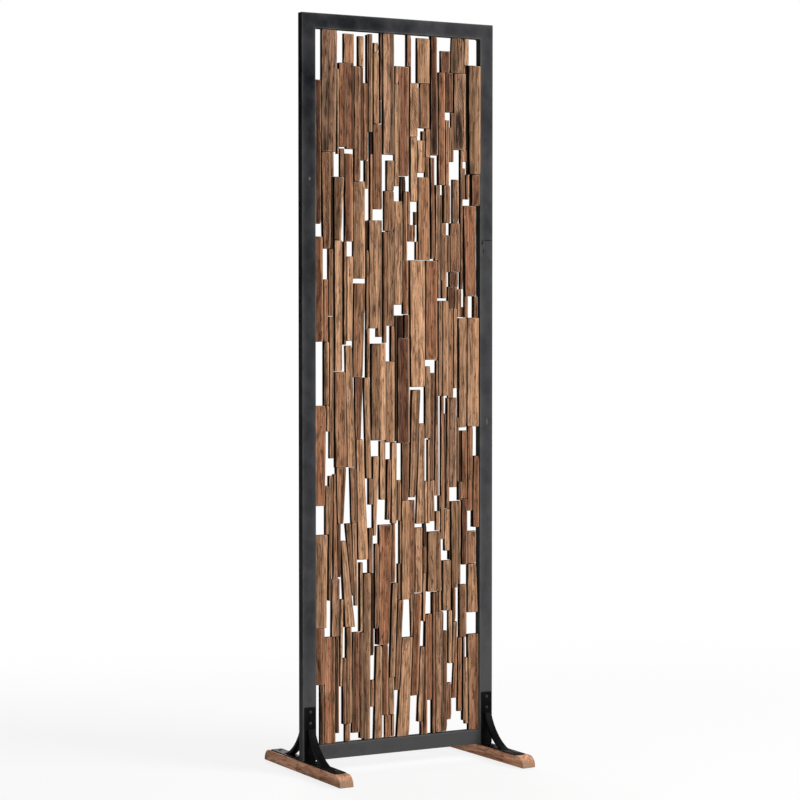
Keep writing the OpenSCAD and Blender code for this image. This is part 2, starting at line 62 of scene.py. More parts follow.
Colour = tuple[float, float, float, float]
Socket = bpy.types.NodeSocket
Mesh = bmesh.types.BMesh
Edge = bmesh.types.BMEdge


# ---------------------------------------------------------------- small tools


def paint(red: float, green: float, blue: float) -> Colour:
    """Turns a colour as it shows on a screen into the linear colour that a shader takes.

    Args:
        red: Red from 0 to 255.
        green: Green from 0 to 255.
        blue: Blue from 0 to 255.

    Returns:
        The linear colour with full opacity.
    """
    values = [channel / 255 for channel in (red, green, blue)]
    linear = [v / 12.92 if v <= 0.04045 else ((v + 0.055) / 1.055) ** 2.4 for v in values]
    return (*linear, 1.0)


def ease(low: float, high: float, value: float) -> float:
    """Rises smoothly from 0 at low to 1 at high.

    Args:
        low: Where the rise starts.
        high: Where the rise ends; it may lie below low for a fall.
        value: The place that is asked for.

    Returns:
        A share from 0 to 1.
    """
    share = min(max((value - low) / (high - low), 0.0), 1.0)
    return share * share * (3 - 2 * share)


def whole(bm: Mesh) -> list[Any]:
    """Returns every vertex, edge and face of a mesh."""
    return [*bm.verts, *bm.edges, *bm.faces]


def block(bm: Mesh, low: Vector, high: Vector) -> None:
    """Adds a box between two corners.

    Args:
        bm: The mesh that receives it.
        low: Lowest corner.
        high: Highest corner.
    """
    verts = bmesh.ops.create_cube(bm, size=1.0)["verts"]
    bmesh.ops.scale(bm, vec=high - low, verts=verts)
    bmesh.ops.translate(bm, vec=(low + high) / 2, verts=verts)


def slice_along(bm: Mesh, axis: int, places: Iterable[float]) -> None:
    """Cuts every face that crosses the given planes, and leaves the shape as it is.

    Args:
        bm: The mesh to cut.
        axis: 0 for planes square to X, 1 for Y and 2 for Z.
        places: Where the planes stand along that axis.
    """
    normal = Vector([float(i == axis) for i in range(3)])
    for place in places:
        bmesh.ops.bisect_plane(bm, geom=whole(bm), dist=CUT_SLACK, plane_co=normal * place,
                               plane_no=normal)


def saw_off(bm: Mesh, point: Vector, outward: Vector) -> None:
    """Takes away what lies past a plane and closes the cut.

    Args:
        bm: The mesh to cut.
        point: A point of the plane.
        outward: The direction of what is taken away.
    """
    cut = bmesh.ops.bisect_plane(bm, geom=whole(bm), dist=CUT_SLACK, plane_co=point,
                                 plane_no=outward.normalized(), clear_outer=True)
    rim = [e for e in cut["geom_cut"] if isinstance(e, Edge)]
    bmesh.ops.holes_fill(bm, edges=rim, sides=0)


def ridges(bm: Mesh, angle: float) -> list[Edge]:
    """Returns the edges whose two faces meet at more than an angle, in radians."""
    return [e for e in bm.edges if e.is_manifold and e.calc_face_angle(0.0) > angle]


def soften(bm: Mesh, edges: Sequence[Edge], width: float, segments: int = 2) -> None:
    """Rounds edges, and marks the rounding as a place where the finish wears.

    Args:
        bm: The mesh to round.
        edges: Its edges to round.
        width: Width of the rounding.
        segments: Number of faces across it.
    """
    made = bmesh.ops.bevel(bm, geom=list(edges), offset=width, offset_type="OFFSET",
                           segments=segments, profile=0.5, affect="EDGES", material=-1,
                           clamp_overlap=True)
    wear = wear_and_sheen_layer(bm)
    for face in made["faces"]:
        for loop in face.loops:
            loop[wear] = (1.0, loop[wear][1], 0.0, 1.0)


def wear_and_sheen_layer(bm: Mesh) -> bmesh.types.BMLayerItem:
    """Returns the corner layer that says how worn a metal face is and where light is painted,
    made at need.

    Args:
        bm: The mesh; a layer made here says unworn everywhere.

    Returns:
        The layer: red for a worn edge, on the frame's tube corners also a painted highlight;
        green for the place across a tube, where a reflection is painted.
    """
    layer = bm.loops.layers.float_color.get("wear")
    if layer is None:
        layer = bm.loops.layers.float_color.new("wear")
        for face in bm.faces:
            for loop in face.loops:
                loop[layer] = (0.0, 0.0, 0.0, 1.0)
    return layer


def lathe(bm: Mesh, outline: Sequence[tuple[float, float]], steps: int) -> None:
    """Turns an outline about the Z axis into a closed solid.

    Args:
        bm: The mesh that receives it.
        outline: Radius and height of its points, from axis to axis.
        steps: Number of faces round it.
    """
    points = [bm.verts.new((radius, 0.0, height)) for radius, height in outline]
    edges = [bm.edges.new(pair) for pair in zip(points, points[1:])]
    bmesh.ops.spin(bm, geom=[*points, *edges], cent=(0, 0, 0), axis=(0, 0, 1),
                   angle=math.tau, steps=steps, use_merge=True)
    bmesh.ops.remove_doubles(bm, verts=bm.verts[:], dist=WELD_SLACK)


@dataclass(frozen=True)
class Slot:
    """A cross-shaped driver slot in the top of a screw head.

    reach is an arm's length from the axis, and half is half its width. Faces above floor belong
    to the top, and what lies above crown is rubbed.
    """

    reach: float
    half: float
    depth: float
    floor: float
    crown: float

    def sink(self, bm: Mesh) -> None:
        """Sinks the slot into a head along Z and marks where the finish is rubbed.

        Args:
            bm: The mesh of the screw.
        """
        for axis in (0, 1):
            slice_along(bm, axis, (-self.reach, -self.half, self.half, self.reach))
        arms = []
        for face in bm.faces:
            spot = face.calc_center_median()
            across, along = sorted((abs(spot.x), abs(spot.y)))
            if (spot.z > self.floor and across < self.half and along < self.reach
                    and face.normal.z > 0.2):
                arms.append(face)
        sunk = bmesh.ops.extrude_face_region(bm, geom=arms)["geom"]
        verts = [v for v in sunk if isinstance(v, bmesh.types.BMVert)]
        bmesh.ops.translate(bm, vec=(0, 0, -self.depth), verts=verts)
        bmesh.ops.scale(bm, vec=(SLOT_TAPER, SLOT_TAPER, 1), verts=verts)
        wear = wear_and_sheen_layer(bm)
        for loop in [loop for face in bm.faces for loop in face.loops]:
            loop[wear] = (0.6 if loop.vert.co.z > self.crown else 0.0, 0.0, 0.0, 1.0)


def copy_into(target: Mesh, source: Mesh, place: Matrix) -> None:
    """Adds a moved copy of one mesh to another.

    Args:
        target: The mesh that receives the copy.
        source: The mesh to copy.
        place: Where the copy goes.
    """
    carrier = bpy.data.meshes.new("carrier")
    source.to_mesh(carrier)
    carrier.transform(place)
    target.from_mesh(carrier)
    bpy.data.meshes.remove(carrier)


def weld_bead(target: Mesh, place: Matrix, length: float, radius: float) -> None:
    """Lays one rippled weld bead along its own Z axis, thinner towards its ends.

    Args:
        target: The mesh that receives it.
        place: Where its middle goes.
        length: Its length.
        radius: Its thickness.
    """
    depth, pitch, slant = 0.13, 0.85 * MM, 400
    thin, taper_length = 0.55, 2.5 * MM
    bm = bmesh.new()
    bmesh.ops.create_cone(bm, cap_ends=True, cap_tris=False, segments=12, radius1=radius,
                          radius2=radius, depth=length)
    lengthwise = [e for e in bm.edges
                  if abs(e.verts[0].co.z - e.verts[1].co.z) > length / 2]
    bmesh.ops.subdivide_edges(bm, edges=lengthwise, cuts=31, use_grid_fill=True)
    for vert in bm.verts:
        ripple = 1 + depth * math.cos(vert.co.z / pitch + vert.co.x * slant)
        end = length / 2 - abs(vert.co.z)
        size = ripple * (thin + (1 - thin) * ease(0, taper_length, end))
        vert.co.x *= size
        vert.co.y *= size
    copy_into(target, bm, place)
    bm.free()


def wood_layers(bm: Mesh) -> tuple[Any, Any, Any]:
    """Adds the vertex layers grain, wear and marks, which the wood finishes read; wear also
    carries painted shade, and marks some painted shadow.
    """
    layers = bm.verts.layers
    return (layers.float_vector.new("grain"), layers.float_color.new("wear"),
            layers.float_color.new("marks"))


def show(name: str, data: bpy.types.ID) -> bpy.types.Object:
    """Puts a new object of some data into the scene and returns it."""
    made = bpy.data.objects.new(name, data)
    bpy.context.scene.collection.objects.link(made)
    return made


def wave(*place: float) -> float:
    """Returns smooth noise from about -1 to 1 at a place given by three numbers."""
    return noise.noise(Vector(place))


# ------------------------------------------------------------------- finishes


class Wiring:
    """The nodes of one material or world, and short calls that add to them."""

    def __init__(self, owner: bpy.types.Material | bpy.types.World) -> None:
        """Starts with no nodes.

        Args:
            owner: The material or world that gets the nodes.
        """
        owner.use_nodes = True
        self.owner = owner
        self.tree = owner.node_tree
        self.tree.nodes.clear()

    def add(self, kind: str, inputs: dict[Any, Any] | None = None,
            **settings: Any) -> bpy.types.Node:
        """Adds a node.

        Args:
            kind: Its type without the word ShaderNode.
            inputs: Values or sockets by the name or number of the input.
            **settings: Properties of the node.

        Returns:
            The new node.
        """
        made = self.tree.nodes.new(f"ShaderNode{kind}")
        for key, value in settings.items():
            setattr(made, key, value)
        for key, value in (inputs or {}).items():
            if isinstance(value, Socket):
                self.tree.links.new(value, made.inputs[key])
            else:
                made.inputs[key].default_value = value
        return made

    def coordinates(self) -> Socket:
        """Returns the object's own coordinates, in metres."""
        return self.add("TexCoord").outputs["Object"]

    def attribute(self, name: str) -> Socket:
        """Returns a mesh attribute as a vector or colour."""
        return self.add("Attribute", attribute_name=name).outputs["Color"]

    def channels(self, colour: Socket) -> list[Socket]:
        """Returns the red, green and blue of a colour apart."""
        return list(self.add("SeparateColor", {0: colour}).outputs)

    def stretch(self, vector: Socket, scale: Sequence[float],
                shift: Sequence[float] = (0, 0, 0)) -> Socket:
        """Scales and then moves coordinates, one factor for each direction."""
        return self.add("VectorMath", {0: vector, 1: tuple(scale), 2: tuple(shift)},
                        operation="MULTIPLY_ADD").outputs[0]

    def cloud(self, vector: Socket, scale: float, detail: float = 2.0,
              roughness: float = 0.5, twist: float = 0.0) -> Socket:
        """Returns noise from 0 to 1 with that many waves to the metre."""
        return self.add("TexNoise", {"Vector": vector, "Scale": scale, "Detail": detail,
                                     "Roughness": roughness, "Distortion": twist}).outputs[0]

    def rise(self, value: Socket, low: float, high: float, start: float = 0.0,
             end: float = 1.0) -> Socket:
        """Maps low to start and high to end, smoothly and within those ends."""
        return self.add("MapRange", {"Value": value, "From Min": low, "From Max": high,
                                     "To Min": start, "To Max": end},
                        interpolation_type="SMOOTHSTEP").outputs[0]

    def calc(self, operation: str, first: Any, second: Any) -> Socket:
        """Returns one arithmetic step on two values, kept from 0 to 1 where it multiplies."""
        return self.add("Math", {0: first, 1: second}, operation=operation,
                        use_clamp=operation == "MULTIPLY").outputs[0]

    def mix(self, share: Any, first: Any, second: Any, blend: str = "MIX") -> Socket:
        """Returns first turned into second by a share from 0 to 1."""
        return self.add("Mix", {0: share, 6: first, 7: second}, data_type="RGBA",
                        blend_type=blend).outputs[2]

    def bump(self, height: Socket, distance: float, strength: float,
             under: Socket | None = None) -> Socket:
        """Returns the normal of a relief of that height, over another relief if given."""
        inputs = {"Height": height, "Distance": distance, "Strength": strength}
        if under is not None:
            inputs["Normal"] = under
        return self.add("Bump", inputs).outputs[0]

    def seen(self) -> Socket:
        """Returns 1 for rays from the camera, from gloss and through glass, else 0."""
        path = self.add("LightPath").outputs
        total = path["Is Camera Ray"]
        for name in ("Is Glossy Ray", "Is Transmission Ray"):
            total = self.calc("MAXIMUM", total, path[name])
        return total

    def surface(self, **inputs: Any) -> bpy.types.Material:
        """Ends the material in one principled shader.

        Args:
            **inputs: Values or sockets by the input's name, with _ for a space.

        Returns:
            The finished material.
        """
        named = {key.replace("_", " "): value for key, value in inputs.items()}
        shader = self.add("BsdfPrincipled", named)
        self.add("OutputMaterial", {"Surface": shader.outputs[0]})
        return self.owner


@dataclass(frozen=True)
class Clouds:
    """Noise in the wood, drawn out along the grain: the smaller along, the longer."""

    along: float
    scale: float
    detail: float
    roughness: float
    twist: float = 0.0

    def on(self, w: Wiring, grain: Socket) -> Socket:
        """Returns the noise at grain coordinates, from 0 to 1."""
        return w.cloud(w.stretch(grain, (1, 1, self.along)), self.scale, self.detail,
                       self.roughness, self.twist)


@dataclass(frozen=True)
class Bands:
    """Wavering bands in the wood, drawn out along the grain."""

    along: float
    scale: float
    distortion: float
    detail_scale: float
    direction: str

    def on(self, w: Wiring, grain: Socket) -> Socket:
        """Returns the bands at grain coordinates, from 0 to 1."""
        inputs = {"Vector": w.stretch(grain, (1, 1, self.along)), "Scale": self.scale,
                  "Distortion": self.distortion, "Detail": 3.0,
                  "Detail Scale": self.detail_scale}
        return w.add("TexWave", inputs, bands_direction=self.direction).outputs[1]


FINE = Clouds(0.045, 430, 4, 0.62, 0.25)
STREAK = Clouds(0.07, 170, 4, 0.66, 0.7)
BROAD = Clouds(0.08, 88, 3, 0.58, 1.0)
PATCH = Clouds(0.3, 40, 4, 0.68, 0.6)
CHECK = Clouds(0.13, 200, 3, 0.7, 0.8)
PORES = Clouds(0.02, 1500, 2, 0.6)
GROWTH = Bands(0.09, 46.0, 8.0, 0.6, "X")
SAW_LINES = Bands(0.62, 84.0, 5.0, 1.0, "DIAGONAL")


@dataclass(frozen=True)
class WoodFinish:
    """Old wood: streaks along the grain, knots, rubbed rims, dark stains, its own sides and, on
    the strips, painted shade on the dark sides and in the crevices.
    """

    name: str
    pale: Colour
    body: Colour
    vein: Colour
    # Near-black sides: partly the wood's own dark edges, partly painted shade of the gaps.
    side: Colour = paint(7, 5, 4)
    # Dark stains; some spots use it to paint shadow.
    stain: Colour = paint(28, 20, 16)
    rubbed: Colour = paint(204, 164, 132)
    streaks: float = 0.7
    figure: float = 0.3
    relief: float = 1.8 * MM
    saw_depth: float = 0.4 * MM
    roughness: float = 0.72
    gloss: float = 0.06

    def material(self) -> bpy.types.Material:
        """Builds the material.

        Returns:
            The material, which reads the attributes grain, wear and marks.
        """
        w = Wiring(bpy.data.materials.new(self.name))
        grain = w.attribute("grain")
        # wear gives the rubbed rim, the dark side share with painted crevice shade, and the
        # shade: own tone times painted shade.
        rim, side, shade = w.channels(w.attribute("wear"))
        stain, sawn, _ = w.channels(w.attribute("marks"))
        fine, streak, broad, patch, check, pores, growth, saw_lines = (
            pattern.on(w, grain)
            for pattern in (FINE, STREAK, BROAD, PATCH, CHECK, PORES, GROWTH, SAW_LINES))

        # Dark veins lie over the wood: each row says from where to where they set in, and the
        # most that they cover.
        colour = w.mix(w.rise(broad, 0.4, 0.58), self.body, self.pale)
        for pattern, low, high, most in ((fine, 0.5, 0.72, 0.5 * self.streaks),
                                         (growth, 0.35, 0.95, self.figure),
                                         (streak, 0.5, 0.64, self.streaks),
                                         (check, 0.57, 0.63, 0.75),
                                         (patch, 0.48, 0.7, 0.7)):
            colour = w.mix(w.rise(pattern, low, high, 0, most), colour, self.vein)
        lines = w.calc("MULTIPLY", w.rise(saw_lines, 0.45, 0.8, 0, 0.45), sawn)
        # Stains and painted shadow from the marks.
        blotch = w.calc("MULTIPLY", w.rise(streak, 0.36, 0.58, 0.35, 1.0), stain)
        paler = w.calc("MULTIPLY", rim, w.rise(patch, 0.35, 0.6, 0.2, 0.9))
        for share, over in ((lines, self.vein), (blotch, self.stain), (paler, self.rubbed)):
            colour = w.mix(share, colour, over)
        shades = w.add("CombineColor", {0: shade, 1: shade, 2: shade}).outputs[0]
        # Shade multiplies the colour and the side share turns it near black; both partly paint
        # shade.
        colour = w.mix(side, w.mix(1.0, colour, shades, "MULTIPLY"), self.side)

        height = broad
        for pattern, part in ((fine, 0.45), (pores, 0.2), (streak, 0.6), (growth, 0.12)):
            height = w.calc("ADD", height, w.calc("MULTIPLY", pattern, part))
        normal = w.bump(lines, self.saw_depth, 0.5, w.bump(height, self.relief, 0.9))
        rough = w.rise(fine, 0.25, 0.75, self.roughness - 0.1, self.roughness + 0.14)
        return w.surface(Base_Color=colour, Roughness=rough, Normal=normal,
                         Specular_IOR_Level=w.rise(side, 0.0, 0.6, self.gloss, 0.0))


@dataclass(frozen=True)
class Scuff:
    """A short scratch, or a deep dark dent, in the coating as seen from the front."""

    x: float
    z: float
    half_width: float
    half_height: float
    deep: bool = False

    def hit(self, w: Wiring, place: Socket, fleck: Socket) -> Socket:
        """Works out how strongly the scuff shows.

        Args:
            w: The wiring of the material.
            place: Object coordinates.
            fleck: Fine noise that breaks the scuff up.

        Returns:
            Its strength from 0 to 1.
        """
        spot = w.stretch(place, (1 / self.half_width, 0, 1 / self.half_height),
                         (-self.x / self.half_width, 0, -self.z / self.half_height))
        far = w.add("VectorMath", {0: spot}, operation="LENGTH").outputs["Value"]
        return w.calc("MULTIPLY", w.rise(far, 1.0, 0.35), w.rise(fleck, 0.35, 0.5, 0.4, 1))


@dataclass(frozen=True)
class SteelFinish:
    """Blackened or coated steel: clouds and smears, fine speckle, worn edges, painted light and a
    painted reflection.

    mottle is the strength of the clouds. The three fields after it paint light: it is paler near
    the floor, climb changes it with height (darker higher up if negative) and across makes it
    lighter towards the right.
    """

    name: str
    dark: Colour
    light: Colour
    worn: Colour
    dent: Colour = paint(8, 8, 9)
    edge_share: float = 0.6
    cloud_scale: float = 9.0
    speckle: float = 0.05 * MM
    roughness: float = 0.46
    gloss: float = 0.5
    metallic: float = 0.0
    middle: float = 0.35
    # Painted reflection: lighter towards a tube's long edges.
    painted_sheen: float = 0.35
    mottle: float = 1.0
    # Painted light: paler near the floor.
    low_painted_light: float = 0.0
    # Painted light that changes with height; negative paints shade higher up.
    climb: float = 0.0
    # Painted light towards the right.
    across: float = 0.0
    scuffs: tuple[Scuff, ...] = ()

    def material(self) -> bpy.types.Material:
        """Builds the material.

        Returns:
            The material, which reads object coordinates and the attribute wear.
        """
        w = Wiring(bpy.data.materials.new(self.name))
        place = w.coordinates()
        x, _, z = w.add("SeparateXYZ", {0: place}).outputs
        # The first channel marks worn edges, on the frame's tube corners also a painted
        # highlight; the second paints a reflection.
        edge, painted_sheen, _ = w.channels(w.attribute("wear"))
        cloud = w.cloud(w.stretch(place, (1, 1, 0.6)), self.cloud_scale, 4, 0.6, 0.4)
        smear = w.cloud(w.stretch(place, (0.45, 1, 0.35)), 60, 4, 0.6, 0.2)
        fleck = w.cloud(place, 700, 3, 0.7)

        swing = self.middle * self.mottle
        # The tone starts with the painted reflection towards a tube's long edges.
        tone = w.calc("MULTIPLY", painted_sheen, self.painted_sheen)
        for value, low, high, start, end in (
                (cloud, 0.32, 0.68, self.middle - swing, self.middle + swing),
                (smear, 0.3, 0.75, -0.6 * swing, 0.85 * swing),
                # Painted light: paler near the floor, changing with height and lighter towards
                # the right.
                (z, 0.08, 0.5, self.low_painted_light, 0.0),
                (z, 0.4, 1.9, -self.climb, self.climb),
                (x, -0.25, 0.25, 0.0, self.across)):
            tone = w.calc("ADD", tone, w.rise(value, low, high, start, end))
        colour = w.mix(tone, self.dark, self.light)
        colour = w.mix(w.rise(fleck, 0.6, 0.78, 0, 0.35), colour, self.light)
        chipped = w.calc("MULTIPLY", edge, w.rise(smear, 0.32, 0.62, 0.25, self.edge_share))
        colour = w.mix(chipped, colour, self.worn)
        height = w.calc("ADD", fleck, smear)
        for scuff in self.scuffs:
            hit = scuff.hit(w, place, fleck)
            colour = w.mix(hit, colour, self.dent if scuff.deep else self.worn)
            height = w.calc("SUBTRACT", height, hit)

        normal = w.bump(height, self.speckle, 0.6)
        rough = w.rise(smear, 0.25, 0.75, self.roughness - 0.07, self.roughness + 0.12)
        return w.surface(Base_Color=colour, Roughness=rough, Normal=normal,
                         Metallic=self.metallic, Specular_IOR_Level=self.gloss)


@dataclass(frozen=True)
class RubberFinish:
    """Dull rubber with a moulded grain and dust on it."""

    name: str
    body: Colour = paint(24, 24, 25)
    dust: Colour = paint(72, 68, 64)
    relief: float = 0.06 * MM

    def material(self) -> bpy.types.Material:
        """Builds the material.

        Returns:
            The material, which reads object coordinates.
        """
        w = Wiring(bpy.data.materials.new(self.name))
        place = w.coordinates()
        dust = w.cloud(place, 160, 4, 0.7)
        grain = w.cloud(place, 2600, 2, 0.5)
        colour = w.mix(w.rise(dust, 0.5, 0.8, 0, 0.45), self.body, self.dust)
        return w.surface(Base_Color=colour, Roughness=w.rise(dust, 0.3, 0.7, 0.7, 0.92),
                         Normal=w.bump(grain, self.relief, 0.7), Specular_IOR_Level=0.3)


class Tone(Enum):
    """Wood tones of the strips, each with its finish."""

    TAN = WoodFinish("wood_tan", paint(204, 158, 122), paint(185, 138, 102), paint(60, 38, 25))
    MID = WoodFinish("wood_mid", paint(173, 126, 95), paint(153, 108, 78), paint(43, 27, 18))
    RED = WoodFinish("wood_red", paint(180, 125, 92), paint(161, 108, 78), paint(47, 28, 19))
    DARK = WoodFinish("wood_dark", paint(140, 96, 73), paint(117, 77, 57), paint(29, 17, 11))
    GREY = WoodFinish("wood_grey", paint(180, 138, 109), paint(150, 112, 86), paint(35, 24, 17),
                      streaks=0.95)


# The frame paints light: paler near the floor, darker higher up, lighter to the right.
FRAME_FINISH = SteelFinish(
    "frame_charcoal", paint(21, 22, 25), paint(69, 69, 70), paint(98, 97, 94), gloss=0.0,
    cloud_scale=7.0, mottle=0.5, low_painted_light=0.5, climb=-0.12, across=0.26,
    scuffs=(Scuff(-0.272, 1.567, 0.0035, 0.006), Scuff(0.27, 1.415, 0.024, 0.0016, True),
            Scuff(0.252, 1.408, 0.0035, 0.009, True), Scuff(0.256, 1.386, 0.002, 0.008, True),
            Scuff(0.268, 0.92, 0.002, 0.012)))
BRACKET_FINISH = SteelFinish(
    "bracket_black", paint(7, 7, 8), paint(19, 19, 20), paint(54, 53, 51), edge_share=0.5,
    cloud_scale=30.0, roughness=0.42, gloss=0.02)
SCREW_FINISH = SteelFinish(
    "screw_black", paint(10, 10, 11), paint(24, 24, 25), paint(74, 72, 68),
    cloud_scale=260.0, roughness=0.36, gloss=0.12)
ZINC_FINISH = SteelFinish(
    "screw_zinc", paint(150, 142, 118), paint(190, 182, 158), paint(214, 208, 190),
    cloud_scale=300.0, roughness=0.3, metallic=1.0)
FOOT_FINISH = WoodFinish(
    "foot_wood", paint(238, 184, 150), paint(216, 158, 124), paint(112, 70, 50),
    side=paint(142, 113, 93), rubbed=paint(222, 172, 140), streaks=0.6,
    relief=0.5 * MM, roughness=0.6)
GLIDE_FINISH = RubberFinish("glide_rubber")


# ----------------------------------------------------------------- assemblies


@dataclass
class SubAssembly:
    """Pieces that belong together; it turns finished meshes into pieces of the object."""

    pieces: list[bpy.types.Object] = field(default_factory=list, init=False)

    def place(self, bm: Mesh, name: str, nodes: Sequence[str], slot: str,
              materials: Sequence[bpy.types.Material], crease: float = 0.6,
              ) -> bpy.types.Object:
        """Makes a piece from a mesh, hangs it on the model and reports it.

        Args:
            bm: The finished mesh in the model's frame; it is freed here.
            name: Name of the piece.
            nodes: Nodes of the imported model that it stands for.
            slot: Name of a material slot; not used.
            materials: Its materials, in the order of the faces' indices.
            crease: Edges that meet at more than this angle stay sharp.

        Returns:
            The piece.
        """
        bmesh.ops.recalc_face_normals(bm, faces=bm.faces[:])
        for face in bm.faces:
            face.smooth = True
        for edge in bm.edges:
            edge.smooth = not edge.is_manifold or edge.calc_face_angle(0.0) < crease
        mesh = bpy.data.meshes.new(name)
        bm.to_mesh(mesh)
        bm.free()
        for material in materials:
            mesh.materials.append(material)
        piece = show(name, mesh)
        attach(piece, ROOT)
        if nodes:
            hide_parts(*nodes)
        self.pieces.append(piece)
        LOG.info("%s: %d faces", name, len(mesh.polygons))
        return piece


@dataclass
class SteelFrame(SubAssembly):
    """Four lengths of rounded tube, mitred and welded at the corners.

    The screws' places are millimetres from the opening's left side.
    """

    face: float = 40 * MM
    edge: float = 2.5 * MM
    bead: float = 2.2 * MM
    bead_length: float = 23 * MM
    bead_out: float = 0.6 * MM
    hole: float = 4.2 * MM
    hole_rim: float = 1.2 * MM
    bore: float = 2.2 * MM
    sink: float = 2.0 * MM
    screws: dict[str, tuple[float, ...]] = field(default_factory=lambda: {
        "top_rail": (42, 222, 436), "bottom_rail": (39, 262, 484)})

    def build(self) -> None:
        """Builds the two posts, the two rails and the weld beads in their corners."""
        steel = [FRAME_FINISH.material()]
        for node in ("left_post", "right_post", "top_rail", "bottom_rail"):
            self.place(self.tube(node), f"{node}_tube", [node], "frame_steel", steel)
        bm = bmesh.new()
        low, high = self.opening()
        lying = Matrix.Rotation(math.pi / 2, 4, "X")
        for x in (low.x + self.bead_out, high.x - self.bead_out):
            for z in (low.z + self.bead_out, high.z - self.bead_out):
                weld_bead(bm, Matrix.Translation((x, 0, z)) @ lying, self.bead_length, self.bead)
        self.place(bm, "corner_welds", [], "frame_steel", steel)

    def opening(self) -> tuple[Vector, Vector]:
        """Returns the lower left and the upper right corner of the frame's opening."""
        low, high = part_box("left_post")
        far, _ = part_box("right_post")
        return Vector((high.x, 0, low.z + self.face)), Vector((far.x, 0, high.z - self.face))

    def screw_spots(self, rail: str) -> list[tuple[float, float, float]]:
        """Works out where the panel screws go in.

        Args:
            rail: The tube's node.

        Returns:
            A place in the tube's outer face for each screw; none for a post.
        """
        low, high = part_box(rail)
        level = high.z if rail == "top_rail" else low.z
        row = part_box("panel_screws")
        y = (row[0].y + row[1].y) / 2
        return [(low.x + self.face + place * MM, y, level) for place in self.screws.get(rail, ())]

    def tube(self, node: str) -> Mesh:
        """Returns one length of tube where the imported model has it.

        Args:
            node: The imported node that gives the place.

        Returns:
            The mesh, closed at its mitres.
        """
        low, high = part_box(node)
        along = 2 if high.z - low.z > high.x - low.x else 0
        across = 2 - along
        bm = bmesh.new()
        block(bm, low, high)
        lengthwise = [e for e in bm.edges
                      if abs((e.verts[0].co - e.verts[1].co)[along]) > self.face]
        soften(bm, lengthwise, self.edge, 4)
        middle = (low + high) / 2
        flat = self.face / 2 - self.edge
        slice_along(bm, across, [middle[across] + flat * s for s in (-0.75, -0.4, 0, 0.4, 0.75)])
        first, last = self.opening()
        inside = 1 if middle[across] < (first[across] + last[across]) / 2 else -1
        for end, sign in ((low, -1), (high, 1)):
            corner = middle.copy()
            corner[along] = end[along]
            corner[across] = low[across] if inside > 0 else high[across]
            outward = Vector((0, 0, 0))
            outward[along], outward[across] = sign, inside
            saw_off(bm, corner, outward)
        wear = wear_and_sheen_layer(bm)
        for face in bm.faces:
            facing = abs(face.normal.y)
            for loop in face.loops:
                side = self.face / 2 - abs(loop.vert.co[across] - middle[across])
                depth = (high.y - low.y) / 2 - abs(loop.vert.co.y - middle.y)
                # The corner rounding takes the worn colour: partly wear, partly a painted
                # highlight line.
                rubbed = 1.0 if max(side, depth) < 0.7 * self.edge else 0.0
                # The second value paints a reflection that grows towards the tube's long edges.
                loop[wear] = (rubbed, facing * (1 - 2 * side / self.face) ** 3, 0, 1)
        spots = self.screw_spots(node)
        if spots:
            self.countersink(bm, spots, -1 if node == "top_rail" else 1)
        return bm

    def countersink(self, bm: Mesh, spots: Sequence[tuple[float, float, float]],
                    inward: int) -> None:
        """Sinks screw holes into a rail's outer face.

        Args:
            bm: Mesh of the rail.
            spots: Where the holes are.
            inward: -1 if they go down from its upper face, 1 if up from its lower one.
        """
        half = self.hole + self.hole_rim
        slice_along(bm, 1, [spots[0][1] + side * half for side in (-1, 1)])
        slice_along(bm, 0, [x + side * half for x, _, _ in spots for side in (-1, 1)])
        for spot in spots:
            square = []
            for face in bm.faces:
                x, y, z = (abs(a - b) for a, b in zip(face.calc_center_median(), spot))
                if max(x, y) < half and z < 0.01 * MM:
                    square.append(face)
            rim = [e for e in {e for f in square for e in f.edges}
                   if sum(f in square for f in e.link_faces) == 1]
            bmesh.ops.delete(bm, geom=square, context="FACES_ONLY")
            verts = bmesh.ops.create_circle(bm, cap_ends=False, segments=24,
                                            radius=self.hole)["verts"]
            bmesh.ops.translate(bm, vec=spot, verts=verts)
            loop = list({e for v in verts for e in v.link_edges})
            bmesh.ops.bridge_loops(bm, edges=[*rim, *loop])
            for depth in (self.sink, 0.5 * self.sink):
                made = bmesh.ops.extrude_edge_only(bm, edges=loop)["geom"]
                verts = [v for v in made if isinstance(v, bmesh.types.BMVert)]
                loop = [e for e in made if isinstance(e, Edge)]
                size = self.bore / (verts[0].co.xy - Vector(spot[:2])).length
                bmesh.ops.scale(bm, vec=(size, size, 1), verts=verts,
                                space=Matrix.Translation((-spot[0], -spot[1], 0)))
                bmesh.ops.translate(bm, vec=(0, 0, inward * depth), verts=verts)
            bmesh.ops.holes_fill(bm, edges=loop, sides=0)


